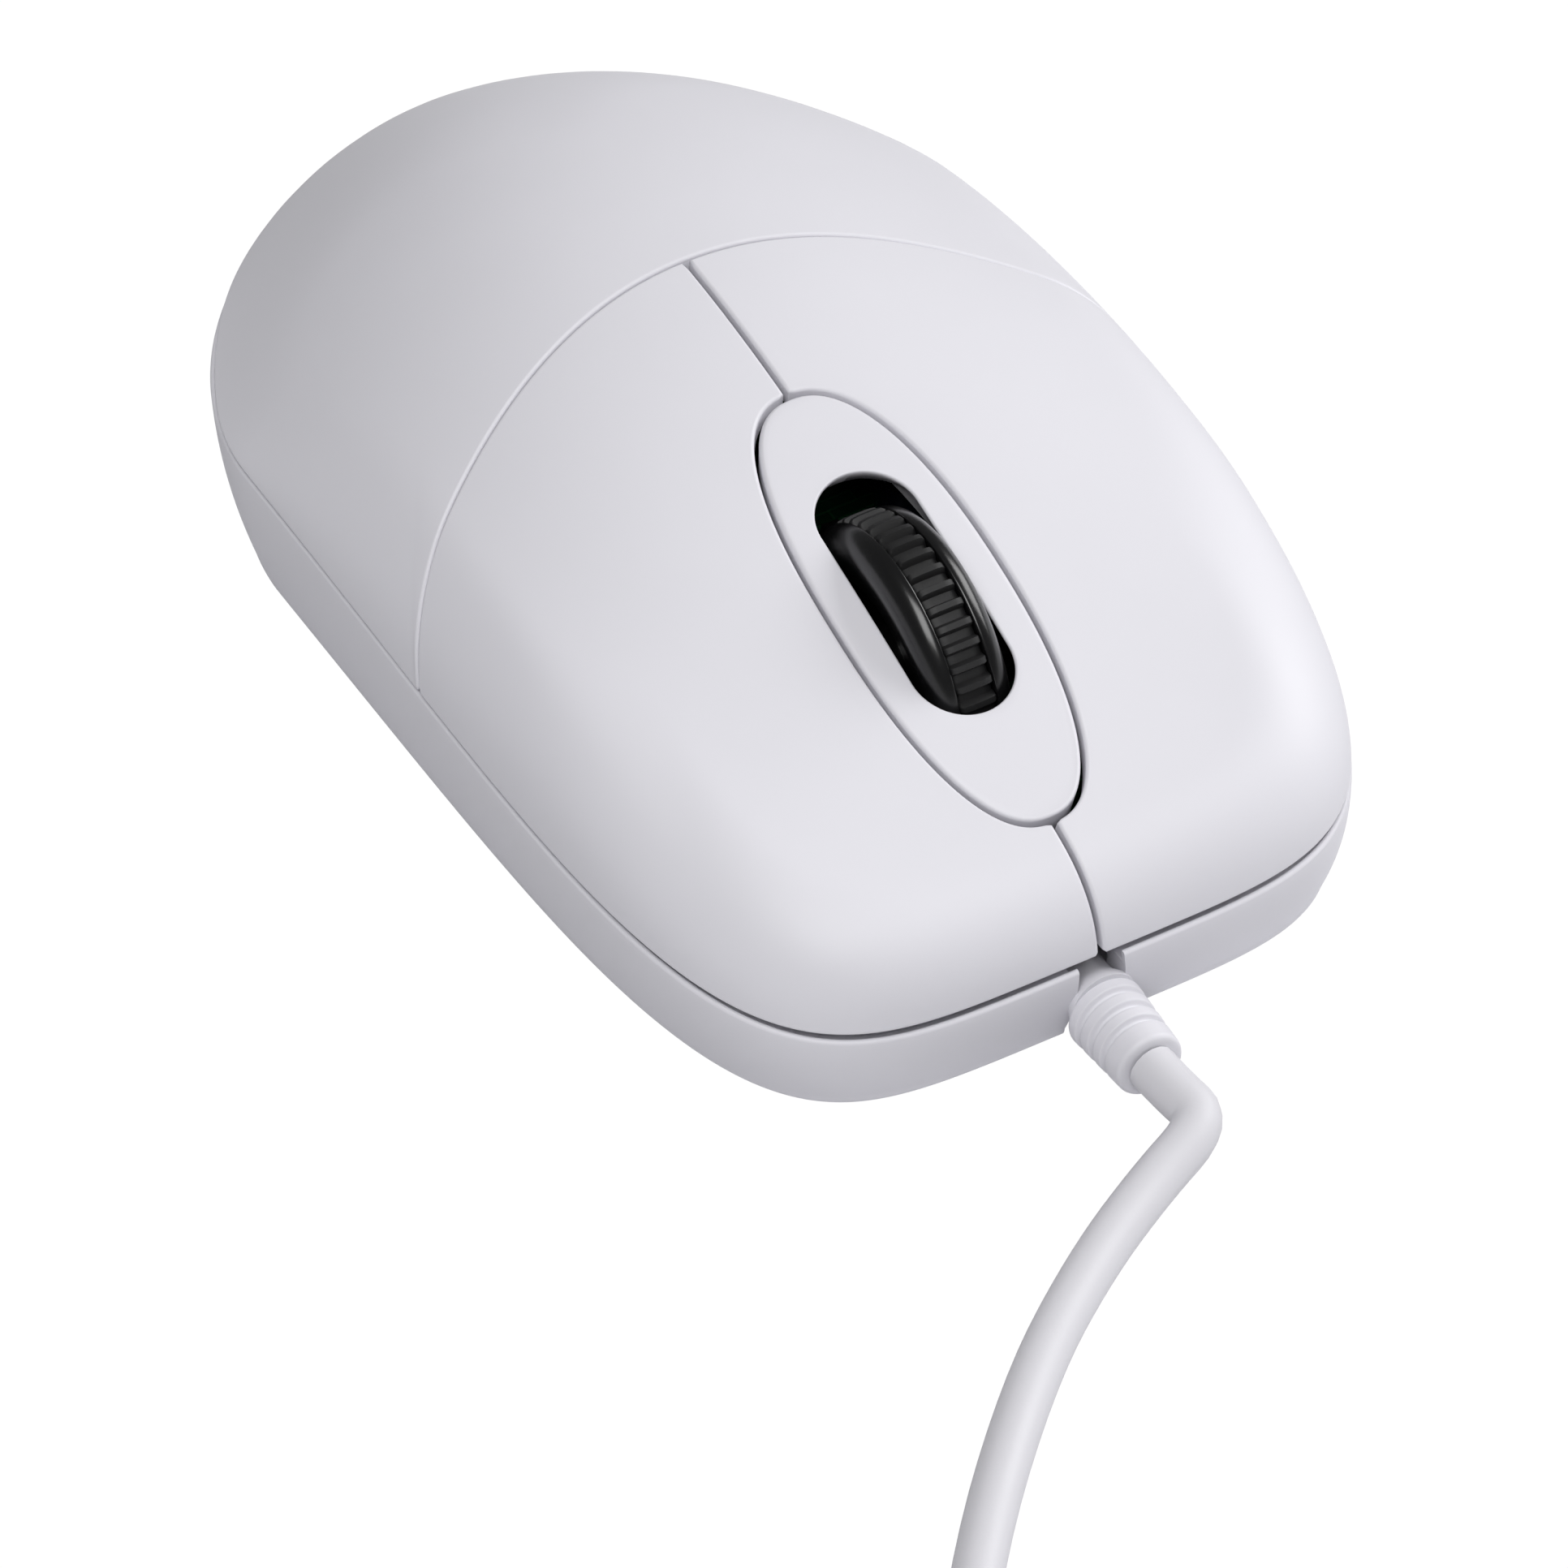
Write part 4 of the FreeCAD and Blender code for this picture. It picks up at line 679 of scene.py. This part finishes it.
def palm_loop():
    """Seam from the -X side to the +X side, then the outline round the rear; with its spine."""
    lift, shift, reach = gap_palm + edge_roll, seam_gap / 2 + edge_roll, palm_reach
    corner_at = corner_turn(shift, lift)
    corner = raised(np.array([corner_at]), lift)[0, 0]
    out = reach + (corner - reach) * (1 - np.linspace(1, 0, 50) ** corner_ease)
    middle = np.linspace(-reach, reach, 61)[1:-1]
    x = np.r_[-out[::-1], middle, out]
    front = np.stack([x, seam(x) + shift], -1)
    right = even_turns(corner_at, outline_turn(reach, end_y(reach, 1)), 130)[1:]
    back = outline_turn(middle[::-1], end_y(middle[::-1], 1))
    turns = np.r_[right, back, 2 * np.pi - right[::-1]]
    loop = np.r_[front, raised(turns, lift)]
    return loop, np.stack([np.clip(loop[:, 0], -reach, reach), np.full(len(loop), palm_spine_y)], -1)


def button_loop():
    """The left button's loop: slit, bezel, slit, front, side and palm seam; with its spine."""
    x0, grow, shift = split_gap / 2 + edge_roll, bezel_gap + edge_roll, seam_gap / 2 + edge_roll
    start = x0 / (oval_half_wide + grow)
    rim = oval(grow, np.linspace(start, np.pi - start, 111))
    slit_rear = np.stack([np.full(24, x0), np.linspace(seam(x0) - shift, rim[0, 1], 25)[:-1]], -1)
    tip = outline_turn(x0, end_y(x0, -1))
    tip_y = raised(np.array([tip]), gap_front + edge_roll)[0, 1]
    ease = 1 - np.linspace(1, 0, 31)[1:] ** corner_ease
    slit_front = np.stack([np.full(30, x0), rim[-1, 1] + (tip_y - rim[-1, 1]) * ease], -1)
    beside = rim[::-1, 1]                   # the side's points stand level with the bezel's
    side_turns = outline_turn(side_x(beside), beside)
    front_turns = even_turns(tip, side_turns[0], 90)[1:-1]
    last_turns = np.linspace(side_turns[-1], corner_turn(-shift, gap_palm + edge_roll), 6)[1:]
    turns = np.r_[front_turns, side_turns, last_turns]
    level = outline(turns)[0][:, 1]
    side = raised(turns, gap_front - gap_fall * (level / body_length + 0.5) + edge_roll)
    back_x = side[-1, 0] - (side[-1, 0] - x0) * np.linspace(0, 1, 76)[1:-1] ** seam_ease
    palm = np.stack([back_x, seam(back_x) - shift], -1)
    loop = np.r_[slit_rear, rim, slit_front, side, palm]
    spine_y = np.clip(loop[:, 1], rim[-1, 1], rim[0, 1])
    first = len(slit_rear) + len(rim) + len(slit_front) + len(front_turns)
    spine_y[first:first + len(beside)] = beside
    return loop, np.stack([np.full(len(loop), button_spine_x), spine_y], -1)


palm = joined("palm_dome", shell_grid(*palm_loop(), skin_wall, edge_roll))
fitted(palm, white_abs, "case", "white_abs", "palm_cover")
left_grid = shell_grid(*button_loop(), skin_wall, edge_roll)
left = joined("left_button_cap", left_grid)
fitted(left, white_abs, "left_button", "white_abs", "left_button")
right = joined("right_button_cap", left_grid[:, ::-1] * np.array([-1, 1, 1]))
fitted(right, white_abs, "right_button", "white_abs", "right_button")


# ---- Strain relief -----------------------------------------------------------------------------
# A sleeve of soft white PVC moulded on the cord, tapered, with rounded grooves that let it bend.
# A round neck goes on through the notch in the base's front wall, to a flange inside.
relief_z, relief_start, relief_end = 3.9, -55.9, -63.3
relief_big, relief_small = 3.3, 2.85
grooves, groove_half, groove_deep = (-57.5, -59.2, -60.9), 0.3, 0.45
end_round, bore_radius = 0.5, 1.9
neck_z, neck_rear, neck_front, neck_thin, neck_thick = 4.7, -51.2, -56.2, 2.2, 2.9
flange_half, flange_low, flange_high, flange_front, flange_rear = 4.5, 2.5, 8.3, -50.9, -49.9


def relief_profile():
    """Radius along the sleeve: a straight taper, less a rounded dip at each groove, ends rounded."""
    y = np.linspace(relief_start, relief_end, 120)
    share = (relief_start - y) / (relief_start - relief_end)
    radius = relief_big + (relief_small - relief_big) * share
    for groove in grooves:
        radius -= groove_deep * np.exp(-((y - groove) / groove_half) ** 4)
    edge = np.clip(1 - np.minimum(relief_start - y, y - relief_end) / end_round, 0, 1)
    radius -= end_round * (1 - np.sqrt(1 - edge ** 2))
    return [(y[0], 0.0)] + list(zip(y, radius)) + [(y[-1], bore_radius), (y[-1], 0.0)]


relief = turned("strain_relief_sleeve", relief_profile()[::-1], 96, (0, 0, relief_z), axis="y")
# Soft PVC moulded over the cord: a shade greyer than the case, and satin.
pvc = moulded(*material("moulded_soft_pvc", IOR=1.53), linear("#d3d2d8"), 0.5, 0.006,
              roughness=(0.48, 0.56))
fitted(relief, pvc, "case", "white_pvc", "strain_relief")
neck_profile = [(neck_front, 0), (neck_front, neck_thick), (-55.6, neck_thick), (-54.4, 2.3),
                (-53.5, neck_thin), (neck_rear, neck_thin), (neck_rear, 0)]
neck = turned("strain_relief_neck", neck_profile, 64, (0, 0, neck_z), axis="y")
flange_corners = [(-flange_half, flange_low), (flange_half, flange_low),
                  (flange_half, flange_high), (-flange_half, flange_high)]
flange = upright_prism("strain_relief_flange", flange_corners, flange_front, flange_rear, "y")
for block in (neck, flange):
    fitted(block, pvc, "case", "white_pvc")


# ---- Cord --------------------------------------------------------------------------------------
# A round four-wire cable in soft white PVC, extruded. It leaves the strain relief, kinks to the
# side, runs off over the desk, is wound in two layers and ends in its plug.
cord_diameter = 0.004
route_mm = [
    (0.0, -63.3, 3.9), (0.2, -66.0, 3.7), (1.0, -70.1, 3.2), (-5.6, -72.9, 2.3),
    (-13.7, -77.8, 2.05), (-23.6, -85.8, 2.05), (-36.8, -100.5, 2.05), (-50.9, -121.3, 2.1),
    (-57.4, -145.4, 2.4)]
tail_mm = [
    (-19.4, -183.0, 6.4), (-5.5, -179.4, 5.5), (8.0, -175.3, 4.2), (16.8, -167.2, 4.0),
    (19.5, -155.6, 4.0)]
coil_x, coil_y = -27.3, -153.5
coil_outer, coil_inner, coil_pitch = 31.2, 11.2, 4.0     # centre-line radii, and the turns' spacing
coil_start, coil_end = 165.0, 285.0                      # where the cord meets and leaves the coil
low_turns, high_turns, points_per_turn = 5, 4, 18
low_z, layer_rise, climb_before, climb_long = 2.4, 4.0, 0.2, 0.45


def coil_points():
    """Five turns wind inwards on the floor, one climbs, and four wind outwards on top of them."""
    turns = low_turns + 1 + high_turns + (coil_end - coil_start) / 360
    t = np.arange(1, int(turns * points_per_turn)) / points_per_turn
    climb = np.clip((t - low_turns + climb_before) / climb_long, 0, 1)
    radius = np.where(t < low_turns, coil_outer - coil_pitch * t,
                      np.where(t < low_turns + 1, coil_inner + coil_pitch / 2 * (t - low_turns),
                               coil_inner + coil_pitch * (t - low_turns - 0.5)))
    height = low_z + layer_rise * climb * climb * (3 - 2 * climb)
    angle = np.radians(coil_start + 360 * t)
    return np.stack([coil_x + radius * np.cos(angle), coil_y + radius * np.sin(angle), height], 1)


cord_path = np.array(route_mm + [tuple(p) for p in coil_points()] + tail_mm) / 1000
cord_line = bpy.data.curves.new("cord", "CURVE")
cord_line.dimensions = "3D"
spline = cord_line.splines.new("NURBS")
spline.points.add(len(cord_path) - 1)
spline.points.foreach_set("co", np.c_[cord_path, np.ones(len(cord_path))].ravel())
spline.order_u = 3
spline.use_endpoint_u = True
spline.resolution_u = 6
cord_line.bevel_depth = cord_diameter / 2
cord_line.bevel_resolution = 6
cord_line.use_fill_caps = True
cord = bpy.data.objects.new("cord", cord_line)
bpy.context.collection.objects.link(cord)
# Soft PVC extruded over the wires: like the relief's, a little darker, with a faint orange peel.
cord_pvc = moulded(*material("extruded_soft_pvc", IOR=1.53), linear("#cecdd2"), 0.8, 0.01,
                   roughness=(0.48, 0.56))
cord_line.materials.append(cord_pvc)
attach(cord, "case")
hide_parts("cord_lead", "cord_coil", "cord_tail")


# ---- Coil tie and plug -------------------------------------------------------------------------
# A black nylon strip holds the coil; the plug lies beside it: a soft white grip, a plated steel
# sheath folded from strip, and a white tongue with four gilt contacts.
# Woven nylon tape: black and dull, its weave drawn as half-millimetre bumps.
tie_nylon = moulded(*material("woven_black_nylon", IOR=1.53), linear("#121213"), 0.5, 0.05,
                    roughness=(0.6, 0.8))
# Bright nickel over rolled steel: a warm grey mirror with fine lines along the strip.
plate = metal("bright_nickel_plate", "#c9c8c4", 0.35, 0.12, 0.26, (1, 0.15, 1))
# A flash of gold over nickel on the contacts.
gilt = metal("gold_flash_contacts", "#d8a948", 0.3, 0.15, 0.3)
painted(tie_nylon, "coil_tie")
painted(pvc, "usb_overmould", "inner_cable")
painted(plate, "usb_shell")
painted(white_nylon, "usb_tongue")
painted(gilt, "usb_contacts")
